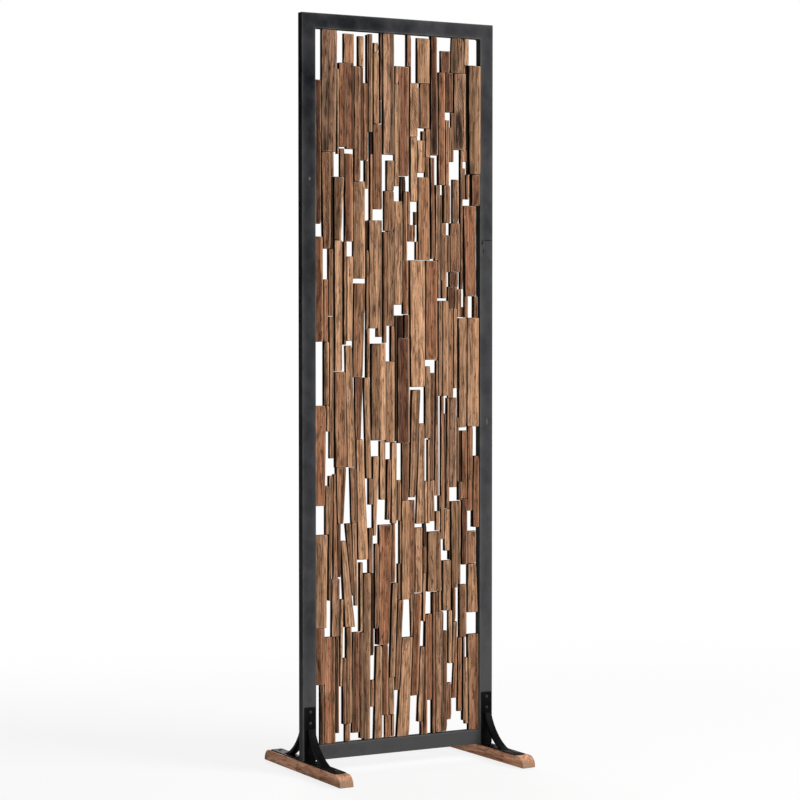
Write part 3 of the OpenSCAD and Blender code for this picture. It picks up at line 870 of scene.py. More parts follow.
@dataclass
class FootBars(SubAssembly):
    """Two wooden bars under the posts, rounded at their upper ends."""

    length: float = 450 * MM
    width: float = 40 * MM
    height: float = 30 * MM
    lift: float = 2 * MM
    end: float = 26 * MM
    edge: float = 1.3 * MM
    wear: float = 0.45 * MM
    turns: tuple[tuple[str, float], ...] = (("left", 0.0), ("right", 2.0))

    def at_post(self, side: str, turn: float) -> Matrix:
        """Finds the place on the floor under a post.

        Args:
            side: left or right.
            turn: The foot's turn in degrees.

        Returns:
            The place, turned so.
        """
        low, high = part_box(f"{side}_post")
        return (Matrix.Translation(((low.x + high.x) / 2, 0, 0))
                @ Matrix.Rotation(math.radians(turn), 4, "Z"))

    def build(self) -> None:
        """Builds and dresses both bars."""
        wood = [FOOT_FINISH.material()]
        for seed, (side, turn) in enumerate(self.turns):
            bm = self.bar(seed)
            at = self.at_post(side, turn) @ Matrix.Translation((0, 0, self.lift))
            bmesh.ops.transform(bm, matrix=at, verts=bm.verts[:])
            self.place(bm, f"{side}_foot_wood", [f"{side}_foot_bar"], "foot_wood", wood, 0.7)

    def bar(self, seed: int) -> Mesh:
        """Returns one bar along Y that stands on the height 0.

        Args:
            seed: Number that sets its grain and its dents.

        Returns:
            The mesh with its attributes.
        """
        bm = bmesh.new()
        half = Vector((self.width / 2, self.length / 2, 0))
        block(bm, -half, half + Vector((0, 0, self.height)))
        tops = [e for e in bm.edges
                if all(v.co.z > self.height / 2 for v in e.verts)
                and abs(e.verts[0].co.y - e.verts[1].co.y) < WELD_SLACK]
        bmesh.ops.bevel(bm, geom=tops, offset=self.end, offset_type="OFFSET", segments=12,
                        profile=0.5, affect="EDGES", material=-1)
        bmesh.ops.bevel(bm, geom=ridges(bm, SHARP), offset=self.edge, offset_type="OFFSET",
                        segments=2, profile=0.5, affect="EDGES", material=-1)
        reach = self.length / 2 - self.end
        slice_along(bm, 1, [reach * (i / 15 - 1) for i in range(31)])
        slice_along(bm, 0, [self.width * s for s in (-0.36, -0.22, -0.08, 0.08, 0.22, 0.36)])
        slice_along(bm, 2, [self.height * s for s in (0.12, 0.3, 0.5, 0.7, 0.88)])
        grain, wear, marks = wood_layers(bm)
        shift = Vector((seed * 3.1, seed * 5.7, seed * 1.3))
        for vert in bm.verts:
            x, y, z = vert.co
            tip = ease(self.length / 2 - 0.4 * self.end, self.length / 2 - 1 * MM, abs(y))
            vert[grain] = Vector((x, z, y)) + shift
            vert[wear] = (0, 0.85 * tip, 0.98, 1)
            vert[marks] = (0, 0, 0, 1)
            ripple = noise.noise(Vector((x * 90, y * 9, z * 90)) + shift * 10)
            dent = noise.noise(Vector((x, y, z)) * 28 - shift * 7)
            inward = Vector((-x / half.x, 0, self.height / 2 - z)).normalized()
            room = 0 if z < self.edge else self.wear * (0.35 + 0.35 * ripple + 0.3 * dent)
            vert.co += Vector((inward.x, 0, min(inward.z, 0))) * max(room, 0)
        return bm


@dataclass
class Brackets(SubAssembly):
    """Flat steel plates, uprights and curved braces that hold the posts on the feet."""

    strap: float = 32 * MM
    thick: float = 3 * MM
    height: float = 143 * MM
    corner: float = 2 * MM
    brace_width: float = 20 * MM
    brace_thick: float = 9 * MM
    brace_radius: float = 149 * MM
    brace_top: float = 86 * MM
    brace_end: float = 107 * MM
    brace_spare: float = 0.12

    def build(self) -> None:
        """Builds the plate, uprights, braces and weld beads of both feet."""
        steel = [BRACKET_FINISH.material()]
        for side in ("left", "right"):
            self.place(self.plate(side), f"{side}_foot_plate_steel", [f"{side}_foot_plate"],
                       "bracket_steel", steel)
            for face in ("front", "rear"):
                end = f"{side}_{face}"
                for part, mesh, nodes in (
                        ("upright_steel", self.upright(), [f"{end}_upright"]),
                        ("brace_steel", self.brace(), [f"{end}_brace"]),
                        ("welds", self.welds(), [])):
                    bmesh.ops.transform(mesh, matrix=self.at_post(side, face),
                                        verts=mesh.verts[:])
                    self.place(mesh, f"{end}_{part}", nodes, "bracket_steel", steel)

    def at_post(self, side: str, face: str) -> Matrix:
        """Finds where a post's face meets the plate.

        Args:
            side: left or right.
            face: front or rear.

        Returns:
            The place, with +Y away from the post.
        """
        low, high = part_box(f"{side}_post")
        y, turn = (low.y, math.pi) if face == "front" else (high.y, 0.0)
        return (Matrix.Translation(((low.x + high.x) / 2, y, low.z))
                @ Matrix.Rotation(turn, 4, "Z"))

    def plate(self, side: str) -> Mesh:
        """Builds the plate that lies along a foot bar.

        Args:
            side: left or right.

        Returns:
            The mesh.
        """
        bm = bmesh.new()
        block(bm, *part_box(f"{side}_foot_plate"))
        soften(bm, bm.edges[:], 0.5 * MM)
        return bm

    def upright(self) -> Mesh:
        """Builds one upright, its upper corners cut a little round.

        Returns:
            The mesh.
        """
        bm = bmesh.new()
        block(bm, Vector((-self.strap / 2, 0, 0)),
              Vector((self.strap / 2, self.thick, self.height)))
        corners = [e for e in bm.edges if all(v.co.z > self.height / 2 for v in e.verts)
                   and abs(e.verts[0].co.y - e.verts[1].co.y) > self.thick / 2]
        soften(bm, corners, self.corner, 4)
        soften(bm, ridges(bm, SHARP), 0.45 * MM)
        return bm

    def arc(self) -> tuple[Vector, float, float]:
        """Works out the brace's curve from its ends.

        Returns:
            The centre, and the angles of the upper and lower end seen from there.
        """
        upper = Vector((self.thick + self.brace_thick - 0.5 * MM, self.brace_top))
        lower = Vector((self.brace_end, 0))
        chord = lower - upper
        rise = math.sqrt(self.brace_radius ** 2 - chord.length_squared / 4)
        centre = (upper + lower) / 2 + rise * Vector((-chord.y, chord.x)) / chord.length
        angles = [math.atan2(p.y - centre.y, p.x - centre.x) for p in (upper, lower)]
        return Vector((0, centre.x, centre.y)), angles[0] % math.tau, angles[1] % math.tau

    def brace(self) -> Mesh:
        """Builds one curved brace as an arc that is sawn off at the upright and the plate.

        Returns:
            The mesh.
        """
        centre, upper, lower = self.arc()
        bm = bmesh.new()
        grid = bmesh.ops.create_grid(bm, x_segments=1, y_segments=1, size=0.5)["verts"]
        bmesh.ops.scale(bm, vec=(self.brace_width, self.brace_thick, 1), verts=grid)
        bmesh.ops.translate(bm, vec=(0, self.brace_radius + self.brace_thick / 2, 0), verts=grid)
        bmesh.ops.rotate(bm, cent=(0, 0, 0), verts=grid,
                         matrix=Matrix.Rotation(upper - self.brace_spare, 3, "X"))
        bmesh.ops.translate(bm, vec=centre, verts=grid)
        bmesh.ops.spin(bm, geom=bm.faces[:], cent=centre, axis=(1, 0, 0), steps=26,
                       angle=lower - upper + 2 * self.brace_spare, use_merge=False)
        for point, outward in ((Vector((0, 0, self.brace_top)), Vector((0, 0, 1))),
                               (Vector((0, self.thick, 0)), Vector((0, -1, 0))),
                               (Vector((0, 0, 0)), Vector((0, 0, -1)))):
            saw_off(bm, point, outward)
        bmesh.ops.remove_doubles(bm, verts=bm.verts[:], dist=WELD_SLACK)
        bmesh.ops.recalc_face_normals(bm, faces=bm.faces[:])
        soften(bm, ridges(bm, 0.6), 0.9 * MM)
        return bm

    def welds(self) -> Mesh:
        """Lays the weld beads at a brace's two ends and at the upright's foot.

        Returns:
            The mesh.
        """
        bm = bmesh.new()
        lying = Matrix.Rotation(math.pi / 2, 4, "Y")
        for y, z, length, radius in (
                (self.thick, self.brace_top - 9 * MM, self.brace_width, 1.6 * MM),
                (self.brace_end, 0, self.brace_width + 2 * MM, 1.8 * MM),
                (self.thick, 0, self.strap - 4 * MM, 1.5 * MM)):
            weld_bead(bm, Matrix.Translation((0, y, z)) @ lying, length, radius)
        return bm


@dataclass
class Fixings(SubAssembly):
    """Round-headed bracket screws, countersunk panel screws and the rubber glides.

    shank, head, rise and the outlines are in millimetres.
    """

    shank: float = 2.5
    head: float = 5.0
    rise: float = 3.0
    upright_places: tuple[float, ...] = (100 * MM, 130 * MM)
    plate_places: tuple[float, ...] = (40 * MM, 156 * MM)
    strap: float = 3 * MM
    round_slot: Slot = Slot(2.6 * MM, 0.5 * MM, 1.4 * MM, 1.5 * MM, 1.05 * MM)
    panel_slot: Slot = Slot(2.2 * MM, 0.45 * MM, 1.2 * MM, -0.2 * MM, -0.3 * MM)
    panel_screw: tuple[tuple[float, float], ...] = (
        (0, -0.05), (2.2, -0.05), (3.84, -0.1), (4, -0.25), (2, -2), (2, -59), (0, -65))
    glide: tuple[tuple[float, float], ...] = (
        (0, 0.9), (1.2, 1), (1.6, 1.3), (2.4, 1.3), (2.6, 0.15), (3.2, 0), (8.9, 0),
        (9.65, 0.3), (10, 1), (10, 1.7), (9.6, 2), (0, 2))
    glide_inset: float = 30 * MM

    def build(self, brackets: Brackets, steel_frame: SteelFrame, feet: FootBars) -> None:
        """Builds every screw and glide.

        Args:
            brackets: The brackets, which know where the posts' faces are.
            steel_frame: The frame, which knows where the panel screws go in.
            feet: The foot bars, which know where the glides sit.
        """
        self.bracket_screws(brackets)
        self.panel_screws(steel_frame)
        self.glides(feet)

    def turned(self, target: Mesh, place: Matrix, outline: Sequence[tuple[float, float]],
               steps: int, slot: Slot | None = None) -> None:
        """Adds one piece that is turned about its own Z axis.

        Args:
            target: The mesh that receives it.
            place: Where its origin goes.
            outline: Radius and height of its points in millimetres, from axis to axis.
            steps: Number of faces round it.
            slot: Its driver slot, for a screw.
        """
        bm = bmesh.new()
        lathe(bm, [(radius * MM, height * MM) for radius, height in outline], steps)
        if slot:
            bmesh.ops.recalc_face_normals(bm, faces=bm.faces[:])
            slot.sink(bm)
        copy_into(target, bm, place)
        bm.free()

    def bracket_screws(self, brackets: Brackets) -> None:
        """Builds the screws of the uprights and of the plates.

        Args:
            brackets: The brackets, which know where the posts' faces are.
        """
        black = [SCREW_FINISH.material()]
        luck = random.Random(7)
        level, tilt = Matrix.Identity(4), Matrix.Rotation(-math.pi / 2, 4, "X")
        uprights, plates = bmesh.new(), bmesh.new()
        groups = ((uprights, [(0, self.strap, z) for z in self.upright_places], tilt, 12),
                  (plates, [(0, y, 0) for y in self.plate_places], level, 22))
        for side in ("left", "right"):
            for face in ("front", "rear"):
                for target, spots, pose, length in groups:
                    for spot in spots:
                        turn = Matrix.Rotation(luck.uniform(0, math.pi / 2), 4, "Z")
                        at = brackets.at_post(side, face) @ Matrix.Translation(spot)
                        self.turned(target, at @ pose @ turn, self.round_outline(length), 28,
                                    self.round_slot)
        self.place(uprights, "upright_screws_black", ["upright_screws"], "dark_screws", black)
        self.place(plates, "plate_screws_black", ["plate_screws"], "dark_screws", black)

    def round_outline(self, length: float) -> list[tuple[float, float]]:
        """Draws half the section of a round-headed screw.

        Args:
            length: Length of its shank in millimetres.

        Returns:
            The outline in millimetres, from the top of the head down.
        """
        radius = (self.head ** 2 + self.rise ** 2) / (2 * self.rise)
        slopes = [math.asin(self.head / radius) * i / 8 for i in range(9)]
        dome = [(radius * math.sin(slope), self.rise - radius * (1 - math.cos(slope)))
                for slope in slopes]
        return [*dome, (self.head * 0.97, 0), (self.shank, 0), (self.shank, -length),
                (0, -length - 1)]

    def panel_screws(self, steel_frame: SteelFrame) -> None:
        """Builds the long screws that hold the panel in the rails.

        Args:
            steel_frame: The frame, which knows where they go in.
        """
        bm = bmesh.new()
        for rail, places in steel_frame.screws.items():
            flip = Matrix.Rotation(0 if rail == "top_rail" else math.pi, 4, "X")
            for place, spot in zip(places, steel_frame.screw_spots(rail)):
                turn = Matrix.Rotation(place % 1.3, 4, "Z")
                self.turned(bm, Matrix.Translation(spot) @ flip @ turn, self.panel_screw, 24,
                            self.panel_slot)
        self.place(bm, "panel_screws_zinc", ["panel_screws"], "zinc_screws",
                   [ZINC_FINISH.material()])

    def glides(self, feet: FootBars) -> None:
        """Builds the four rubber glides with their sunk nails.

        Args:
            feet: The foot bars, which know where the glides sit.
        """
        bm = bmesh.new()
        reach = feet.length / 2 - self.glide_inset
        for side, turn in feet.turns:
            for y in (-reach, reach):
                self.turned(bm, feet.at_post(side, turn) @ Matrix.Translation((0, y, 0)),
                            self.glide, 36)
        self.place(bm, "glides_rubber", ["foot_glides"], "glide_rubber",
                   [GLIDE_FINISH.material()])


# ----------------------------------------------------------------- wood panel


class Mark(Enum):
    """What a mark does to a strip."""

    # Dark stains, and painted shadow over strips that lie in shade.
    STAIN = 0
    SAWN = 1


@dataclass(frozen=True)
class Spot:
    """A stained or sawn place, or painted shadow, in millimetres from the opening's lower left
    corner.
    """

    kind: Mark
    x: float
    z: float
    half_width: float
    half_height: float
    strength: float = 1.0


SPOTS = tuple(Spot(kind, *row) for kind, rows in (
    (Mark.SAWN, ((40, 1437, 14, 130), (361, 1678, 14, 115), (441, 1668, 20, 85),
                 (298, 1685, 17, 75), (426, 1300, 15, 85, 0.7))),
    (Mark.STAIN, ((361, 1640, 13, 80), (432, 1625, 14, 62), (446, 1750, 12, 40, 0.6),
                  (79, 1508, 9, 24, 0.9), (234.5, 1258, 4, 15), (410.5, 1047, 3, 8),
                  # From (17, 79) on, the rows paint shadow: beside the left post, on a narrow
                  # strip and on a deep one.
                  (36, 1700, 14, 60, 0.5), (128, 1560, 9, 26, 0.5), (17, 79, 6, 130),
                  (9, 1563, 40, 250, 0.8), (197.5, 1796, 20, 120), (243, 966, 20, 220))),
) for row in rows)


class Outline(NamedTuple):
    """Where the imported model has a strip: its ends' left and right edges and its extents."""

    feet: tuple[float, float]
    heads: tuple[float, float]
    bottom: float
    top: float
    front: float
    back: float

    def edges(self, t: float) -> list[float]:
        """Returns the left and right edge at a share of the height."""
        return [foot + (head - foot) * t for foot, head in zip(self.feet, self.heads)]


class Place(NamedTuple):
    """A place on a strip.

    u goes across from -1 at the left to 1 at the right, w through from 0 at the front to 1 at
    the back and t along from 0 at the foot to 1 at the head. z is the height above the floor,
    and half is half the strip's width there.
    """

    u: float
    w: float
    t: float
    z: float
    half: float


@dataclass(frozen=True)
class Age:
    """How far the strips may wear, and their painted shade, in millimetres and shares; pairs go
    from least to most.

    Of two rows or values that aren't such a pair, the first is for a strip's left side.
    """

    usual_width: float = 20.0
    widest: float = 1.2
    ridge: float = 0.55
    falls: tuple[float, float] = (2.2, 1.1)
    crease: float = 0.6
    steps: tuple[float, ...] = (0, 0, 0.4, 0.6, 0.9)
    rounding: tuple[float, float] = (0.7, 1.4)
    ragged: tuple[tuple[float, float], ...] = ((0.3, 1.2), (0.15, 0.7))
    corner: float = 2.6
    corner_length: float = 5.0
    skew: float = 0.25
    chipped: float = 0.3
    chip_length: float = 14.0
    chip_depth: float = 2.4
    shade: tuple[float, float] = (0.88, 1.08)
    # Bands of painted shade and light, as if each facet were turned to or from the light.
    facet_place: float = 0.8
    facet_painted_shade: tuple[float, float] = (0.56, 1.1)
    rim: float = 0.8
    rim_place: float = 1.4
    rim_width: float = 0.9
    # Painted shade along the strips' edges, where neighbours cast shadow.
    crevice_shade: float = 0.92
    crevice_shade_reach: tuple[float, float] = (2.5, 1.2)
    back_side: float = 0.1
    least_thickness: float = 3.0


AGE = Age()


@dataclass
class Strip:
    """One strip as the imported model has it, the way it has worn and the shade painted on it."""

    outline: Outline
    tone: Tone
    seed: str
    shade: float = 1.0
    spots: Sequence[Spot] = ()

    def __post_init__(self) -> None:
        """Draws the strip's own ridge, splinter and shade, and the painted shade of each facet.
        """
        luck = random.Random(self.seed)
        feet, heads, bottom, top, front, back = self.outline
        self.length, self.thick = top - bottom, back - front
        self.width = min(feet[1] - feet[0], heads[1] - heads[0])
        self.shift = Vector([luck.uniform(-40, 40) for _ in range(3)])
        scale = min(self.width / (AGE.usual_width * MM), AGE.widest)
        small = min(scale, 1.0) * MM
        self.ridge = luck.uniform(-AGE.ridge, AGE.ridge)
        self.falls = [luck.uniform(0.1, 1.0) ** 1.5 * fall * MM * scale for fall in AGE.falls]
        self.crease = luck.uniform(-AGE.crease, AGE.crease)
        self.step = luck.choice(AGE.steps) * MM * scale
        self.step_ends = sorted(luck.uniform(-0.2, 1.2) for _ in range(2))
        self.rounding = luck.uniform(*AGE.rounding) * small
        self.ragged = [luck.uniform(*ends) * small for ends in AGE.ragged]
        self.corners = [[luck.uniform(0.0, 1.0) ** 2 * AGE.corner * small for _ in range(2)]
                        for _ in range(2)]
        self.skew = [luck.uniform(-AGE.skew, AGE.skew) * MM for _ in range(2)]
        self.chips = [(luck.choice((-1, 1)), luck.random() < AGE.chipped) for _ in range(2)]
        self.shade *= luck.uniform(*AGE.shade)
        # Bands of painted shade and light across the strip, one for each facet turned to or from
        # the light.
        self.facet_shading = [(luck.uniform(-AGE.facet_place, AGE.facet_place),
                        luck.uniform(*AGE.facet_painted_shade)) for _ in range(3)]
        self.index = list(Tone).index(self.tone)

    def mesh(self) -> Mesh:
        """Cuts a block into rows and columns and wears it down.

        Returns:
            The strip's mesh with its attributes.
        """
        bm = bmesh.new()
        bmesh.ops.create_cube(bm, size=1.0)
        lip = min(1.4 * MM / self.width, 0.12)
        columns = max(3, min(8, round(self.width / (3.2 * MM))))
        end = 1.1 * MM / self.length
        rows = max(4, round(self.length / (7.5 * MM)))
        slice_along(bm, 0, [s * (0.5 - w) for s in (-1, 1) for w in (0.35 * lip, lip)])
        slice_along(bm, 0, [(i / columns - 0.5) * (1 - 2 * lip) for i in range(1, columns)])
        slice_along(bm, 1, [w * MM / self.thick - 0.5 for w in (0.8, 2.4, 5.0)])
        slice_along(bm, 2, (end - 0.5, 3 * end - 0.5, 0.5 - 3 * end, 0.5 - end))
        lengthwise = [e for e in bm.edges
                      if abs(e.verts[0].co.z - e.verts[1].co.z) > 1 - 7 * end]
        bmesh.ops.subdivide_edges(bm, edges=lengthwise, cuts=rows, use_grid_fill=True)
        self.wear_down(bm)
        for face in bm.faces:
            face.material_index = self.index
        return bm

    def wear_down(self, bm: Mesh) -> None:
        """Moves the unit block's vertices to the worn strip's surface and marks them.

        Args:
            bm: Mesh of a block from -0.5 to 0.5 each way.
        """
        grain, wear, marks = wood_layers(bm)
        for vert in bm.verts:
            u, w, t = vert.co.x * 2, vert.co.y + 0.5, vert.co.z + 0.5
            left, right = self.outline.edges(t)
            half = (right - left) / 2
            at = Place(u, w, t, self.outline.bottom + t * self.length, half)
            near = 1 - ease(0.3, 0.75, w)
            x = (right + left) / 2 + u * (half - self.inset(at) * near)
            y = self.outline.front + w * self.thick + self.fall(at) * (1 - ease(0.0, 0.9, w))
            skew = self.skew[t > 0.5]
            short = abs(skew) if t > 0.5 else -abs(skew)
            ends = ease(0.04, 0.0, min(t, 1 - t)) * near
            at = at._replace(z=at.z - (skew * u + short) * ends)
            vert[grain] = Vector((u * half, w * self.thick, t * self.length)) + self.shift
            vert[wear] = self.wear_and_shade_of(at)
            vert[marks] = self.marks_of(x, at.z)
            vert.co = (x, y, at.z)

    def to_end(self, at: Place) -> float:
        """Returns how far a place is from the strip's nearer end."""
        return min(at.t, 1 - at.t) * self.length

    def inset(self, at: Place) -> float:
        """Works out how ragged a long edge is.

        Args:
            at: The place on the strip.

        Returns:
            How far the edge lies inside the strip's full width there.
        """
        along = Vector((0.0, 5.0 * (at.u > 0), at.z * 26)) + self.shift
        slow, quick = noise.noise(along), noise.noise(along * 5.3)
        near_end = ease(AGE.corner_length * MM, 0.0, self.to_end(at))
        corner = self.corners[at.u > 0][at.t > 0.5] * near_end
        return self.ragged[at.u > 0] * max(0.15, 0.55 + 0.8 * slow + 0.35 * quick) + corner

    def fall(self, at: Place) -> float:
        """Works out how far the worn front lies behind the strip's foremost plane.

        Args:
            at: The place on the strip.

        Returns:
            A depth in metres, from 0.
        """
        u, _, t, z, half = at
        shift = self.shift
        ridge = self.ridge + 0.4 * wave(9, shift.y, z * 7)
        left = max(0.0, ridge - u) / (ridge + 1) * self.falls[0]
        right = max(0.0, u - ridge) / (1 - ridge) * self.falls[1]
        depth = (left + right) * (0.8 + 0.5 * wave(shift.x, 4, z * 11))
        crease = self.crease + 0.3 * wave(shift.z, 2, z * 9)
        first, last = self.step_ends
        span = ease(first, first + 0.1, t) * ease(last + 0.1, last, t)
        depth += self.step * ease(crease - 0.08, crease + 0.08, u) * span
        depth += 0.35 * MM * (0.5 + wave(shift.y, 6, z * 4))
        depth += 0.28 * MM * (0.5 + wave(*(Vector((u * half * 420, 0, z * 9)) + shift)))
        rounding = self.rounding * (1 + 0.5 * wave(u * 3, shift.x, z * 30))
        for gap in ((1 - abs(u)) * half, self.to_end(at) * 1.6):
            inside = max(rounding - gap, 0.0)
            depth += rounding - math.sqrt(max(rounding ** 2 - inside ** 2, 0.0))
        for place, (side, chipped) in zip((t, 1 - t), self.chips):
            if chipped:
                reach = place * self.length / (AGE.chip_length * MM) + (1 - side * u) * 0.55
                depth += AGE.chip_depth * MM * ease(1.0, 0.35, reach)
        return min(max(depth, 0.0), self.thick - AGE.least_thickness * MM)

    def wear_and_shade_of(self, at: Place) -> Colour:
        """Works out what the wood finish is told at a place.

        Args:
            at: The place on the strip.

        Returns:
            The shares of the rubbed rim and of the dark side with the painted shade of the
            crevices, and the shade with its painted facet shade.
        """
        across, along = (1 - abs(at.u)) * at.half, self.to_end(at)
        away = (min(across, along) / MM - AGE.rim_place) / AGE.rim_width
        rim = math.exp(-away ** 2) * ease(0.35, 0.0, at.w)
        # The sides turn near black: partly their own dark edges, partly painted shade of the
        # gaps.
        on_side = abs(at.u) > 0.999 or min(at.t, 1 - at.t) < 0.0005
        side = ease(0.1 * MM, 1.0 * MM, at.w * self.thick) if on_side else 0.0
        # Painted shade in the crevices along each edge, near black like the sides.
        slow = wave(self.shift.z, at.u > 0, at.z * 24)
        reach = AGE.crevice_shade_reach[at.u >= 0] * MM * (0.9 + 0.9 * slow)
        crevice_shade = AGE.crevice_shade * ease(reach, 0.3 * reach, min(across, along * 1.5))
        side = AGE.back_side if at.w > 0.999 else max(side, crevice_shade * ease(0.5, 0.0, at.w))
        shade = self.shade
        # Painted shade and light: bands across the strip, as each facet would catch the light.
        for place, level in self.facet_shading:
            edge = place + 0.25 * wave(self.shift.y, place * 9, at.z * 8)
            beyond = ease(edge - 0.06, edge + 0.06, at.u * math.copysign(1, place))
            shade *= 1 + (level - 1) * beyond
        return AGE.rim * rim, side, shade, 1.0

    def marks_of(self, x: float, z: float) -> Colour:
        """Works out how strongly the strip is marked at a place.

        Args:
            x: Place along the panel.
            z: Height above the floor.

        Returns:
            The strengths of the stains and painted shadow and of the saw marks, as a colour.
        """
        found = [0.0, 0.0]
        for spot in self.spots:
            away = math.hypot((x / MM - spot.x) / spot.half_width,
                              (z / MM - spot.z) / spot.half_height)
            hit = spot.strength * ease(1.25, 0.7, away)
            found[spot.kind.value] = max(found[spot.kind.value], hit)
        return *found, 0.0, 1.0


@dataclass
class WoodPanel(SubAssembly):
    """The mosaic of strips, ten courses high and three zones wide.

    tones has a letter for each strip from left to right: the first letter of its tone, small for
    a darker strip. A strip whose front lies deeper than deep is darkened as painted shadow.
    """

    deep: float = 9.5 * MM
    deep_painted_shade: float = 0.3
    dark_shade: float = 0.82
    tones: dict[str, str] = field(default_factory=lambda: {
        "01_left": "rMRMDTRMTDDT", "01_middle": "RTRRTTTMTRTRR", "01_right": "RRGMDRRMTM",
        "02_left": "TGTMT", "02_middle": "DMDRMT", "02_right": "RTTTTMMT",
        "03_left": "MRdmTR", "03_middle": "TRMTTrTRD", "03_right": "TMTDTGDM",
        "04_left": "RTMMTMTG", "04_middle": "TRTTMTT", "04_right": "TTMdGTMDGGTMDrRR",
        "05_left": "TTTd", "05_middle": "TTdD", "05_right": "TTTMTTT",
        "06_left": "rRTMTMMM", "06_middle": "TRGRTRDDT", "06_right": "R",
        "07_left": "MT", "07_middle": "TRMTM", "07_right": "DTGGMMdDMMMMDMRM",
        "08_left": "dMDTRMDMR", "08_middle": "mMTTDDMDTDD", "08_right": "RMMMgMTD",
        "09_left": "gTTRMDdrTD", "09_middle": "TdGDTMTmM", "09_right": "DMdMDgMt",
        "10_left": "MTR", "10_middle": "TdRMMT", "10_right": "DdgMT",
    })

    def build(self) -> None:
        """Builds and dresses every zone of every course."""
        letters = {tone.name[0]: tone for tone in Tone}
        materials = [tone.value.material() for tone in Tone]
        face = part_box("left_post")[0].y
        for zone, row in self.tones.items():
            node = f"strips_{zone}"
            outlines = self.outlines(node)
            if len(outlines) != len(row):
                raise ValueError(f"{node} has {len(outlines)} strips and {len(row)} tones")
            bm = bmesh.new()
            for number, (outline, letter) in enumerate(zip(outlines, row)):
                shade = self.dark_shade if letter.islower() else 1.0
                # Painted shadow: a strip set deep in the panel is darkened as if in shade.
                if outline.front - face > self.deep:
                    shade = self.deep_painted_shade
                strip = Strip(outline, letters[letter.upper()], f"{zone}-{number}", shade,
                              self.spots_near(outline))
                one = strip.mesh()
                copy_into(bm, one, Matrix.Identity(4))
                one.free()
            self.place(bm, f"{node}_wood", [node], "reclaimed_wood", materials, 0.75)

    def outlines(self, node: str) -> list[Outline]:
        """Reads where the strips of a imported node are.

        Args:
            node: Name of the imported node.

        Returns:
            The outline of each strip, from left to right.
        """
        bm = bmesh.new()
        bm.from_mesh(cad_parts[node].data)
        bmesh.ops.remove_doubles(bm, verts=bm.verts[:], dist=0.01 * MM)
        left = set(bm.verts)
        found = []
        while left:
            group, queue = set(), [left.pop()]
            while queue:
                vert = queue.pop()
                group.add(vert)
                for edge in vert.link_edges:
                    other = edge.other_vert(vert)
                    if other in left:
                        left.remove(other)
                        queue.append(other)
            heights = [v.co.z for v in group]
            bottom, top = min(heights), max(heights)
            spans = []
            for level in (bottom, top):
                xs = [v.co.x for v in group if abs(v.co.z - level) < 0.1 * MM]
                spans.append((min(xs), max(xs)))
            depths = [v.co.y for v in group]
            found.append(Outline(*spans, bottom, top, min(depths), max(depths)))
        bm.free()
        return sorted(found, key=lambda one: (round(one.feet[0], 5), round(one.bottom, 5)))

    def spots_near(self, outline: Outline) -> list[Spot]:
        """Picks the marks whose middle lies on a strip.

        Args:
            outline: Where the strip is.

        Returns:
            Its marks, moved into the model's frame.
        """
        x_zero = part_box("left_post")[1].x
        z_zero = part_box("bottom_rail")[1].z
        near = []
        for spot in SPOTS:
            x, z = x_zero + spot.x * MM, z_zero + spot.z * MM
            share = (z - outline.bottom) / (outline.top - outline.bottom)
            left, right = outline.edges(share)
            if 0 <= share <= 1 and left <= x <= right:
                near.append(replace(spot, x=x / MM, z=z / MM))
        return near


# ---------------------------------------------------------------------- stage


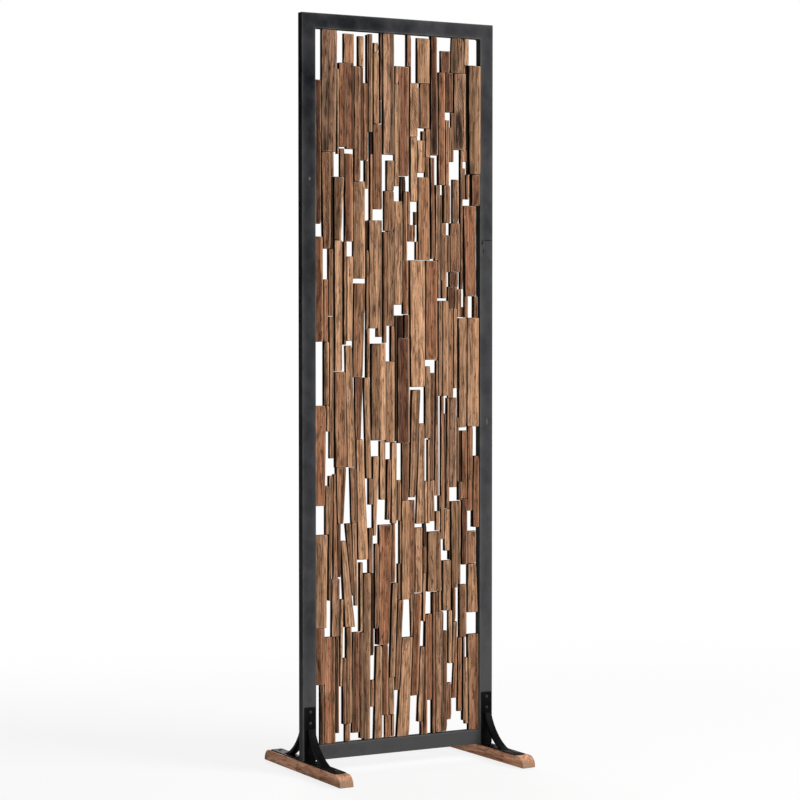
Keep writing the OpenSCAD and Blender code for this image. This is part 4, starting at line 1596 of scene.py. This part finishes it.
@dataclass
class Studio:
    """Pale floor, white surroundings, soft lamps and the camera."""

    camera_place: tuple[float, float, float] = (-2.96276, -5.42897, 1.19528)
    camera_turn: float = 0.5001
    camera_tilt: float = 0.0343
    lens: float = 103.7477
    white_share: float = 0.82
    fade: tuple[float, float] = (1.2, 3.0)
    world_level: float = 0.12

    def build(self) -> None:
        """Sets up the floor, world, lamps, camera and view settings."""
        self.floor()
        self.world()
        self.lamp("key", (2.6, -3.6, 3.4), (2.4, 2.4), 250)
        self.lamp("front_fill", (-0.7, -5.0, 1.5), (2.6, 2.6), 100)
        self.lamp("side_fill", (-4.2, -0.6, 0.7), (2.2, 1.2), 4)
        self.lamp("back_light", (0.9, 4.4, 2.6), (2.6, 2.6), 165)
        self.camera()
        bpy.context.scene.view_settings.view_transform = "Standard"

    def floor(self) -> None:
        """Lays a pale floor that shows white further out and keeps the shadow."""
        bm = bmesh.new()
        bmesh.ops.create_grid(bm, x_segments=8, y_segments=8, size=14.0)
        mesh = bpy.data.meshes.new("studio_floor")
        bm.to_mesh(mesh)
        bm.free()
        floor = show("studio_floor", mesh)
        w = Wiring(bpy.data.materials.new("studio_floor"))
        away = w.add("VectorMath", {0: w.coordinates()}, operation="LENGTH").outputs["Value"]
        share = w.calc("MULTIPLY", w.seen(), w.rise(away, *self.fade, self.white_share, 1.0))
        matt = w.add("BsdfDiffuse", {"Color": (0.86, 0.86, 0.86, 1)})
        white = w.add("Emission", {"Color": (1, 1, 1, 1), "Strength": 1.0})
        both = w.add("MixShader", {0: share, 1: matt.outputs[0], 2: white.outputs[0]})
        w.add("OutputMaterial", {"Surface": both.outputs[0]})
        mesh.materials.append(w.owner)

    def world(self) -> None:
        """Surrounds the object with white as it is seen, and with less as it lights."""
        world = bpy.data.worlds.new("studio_world")
        bpy.context.scene.world = world
        w = Wiring(world)
        dim, white = (
            w.add("Background", {"Color": (1, 1, 1, 1), "Strength": level}).outputs[0]
            for level in (self.world_level, 1.0))
        both = w.add("MixShader", {0: w.seen(), 1: dim, 2: white})
        w.add("OutputWorld", {"Surface": both.outputs[0]})

    def lamp(self, name: str, place: Sequence[float], size: tuple[float, float],
             power: float) -> None:
        """Hangs one soft lamp that points at the panel's middle.

        Args:
            name: Name of the lamp.
            place: Where it hangs.
            size: Its width and height.
            power: Its power in watts.
        """
        light = bpy.data.lights.new(name, "AREA")
        light.shape = "RECTANGLE"
        light.size, light.size_y = size
        light.energy = power
        lamp = show(name, light)
        lamp.location = place
        aim = Vector((0, 0, 1.0)) - Vector(place)
        lamp.rotation_euler = aim.to_track_quat("-Z", "Y").to_euler()

    def camera(self) -> None:
        """Sets the camera at the photograph's viewing angle."""
        data = bpy.data.cameras.new("view")
        data.sensor_width = 36.0
        data.lens = self.lens
        camera = show("view", data)
        camera.location = self.camera_place
        aim = Vector((math.sin(self.camera_turn) * math.cos(self.camera_tilt),
                      math.cos(self.camera_turn) * math.cos(self.camera_tilt),
                      -math.sin(self.camera_tilt)))
        camera.rotation_euler = aim.to_track_quat("-Z", "Y").to_euler()
        bpy.context.scene.camera = camera


def main() -> None:
    """Builds every sub-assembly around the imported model."""
    logging.basicConfig(level=logging.INFO, format="%(name)s: %(message)s")
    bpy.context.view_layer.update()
    Studio().build()
    steel_frame, feet, brackets = SteelFrame(), FootBars(), Brackets()
    fixings, panel = Fixings(), WoodPanel()
    steel_frame.build()
    feet.build()
    brackets.build()
    fixings.build(brackets, steel_frame, feet)
    panel.build()
    for part in (steel_frame, feet, brackets, fixings, panel):
        LOG.info("%s: %d pieces", type(part).__name__, len(part.pieces))


if __name__ == "__main__":
    main()
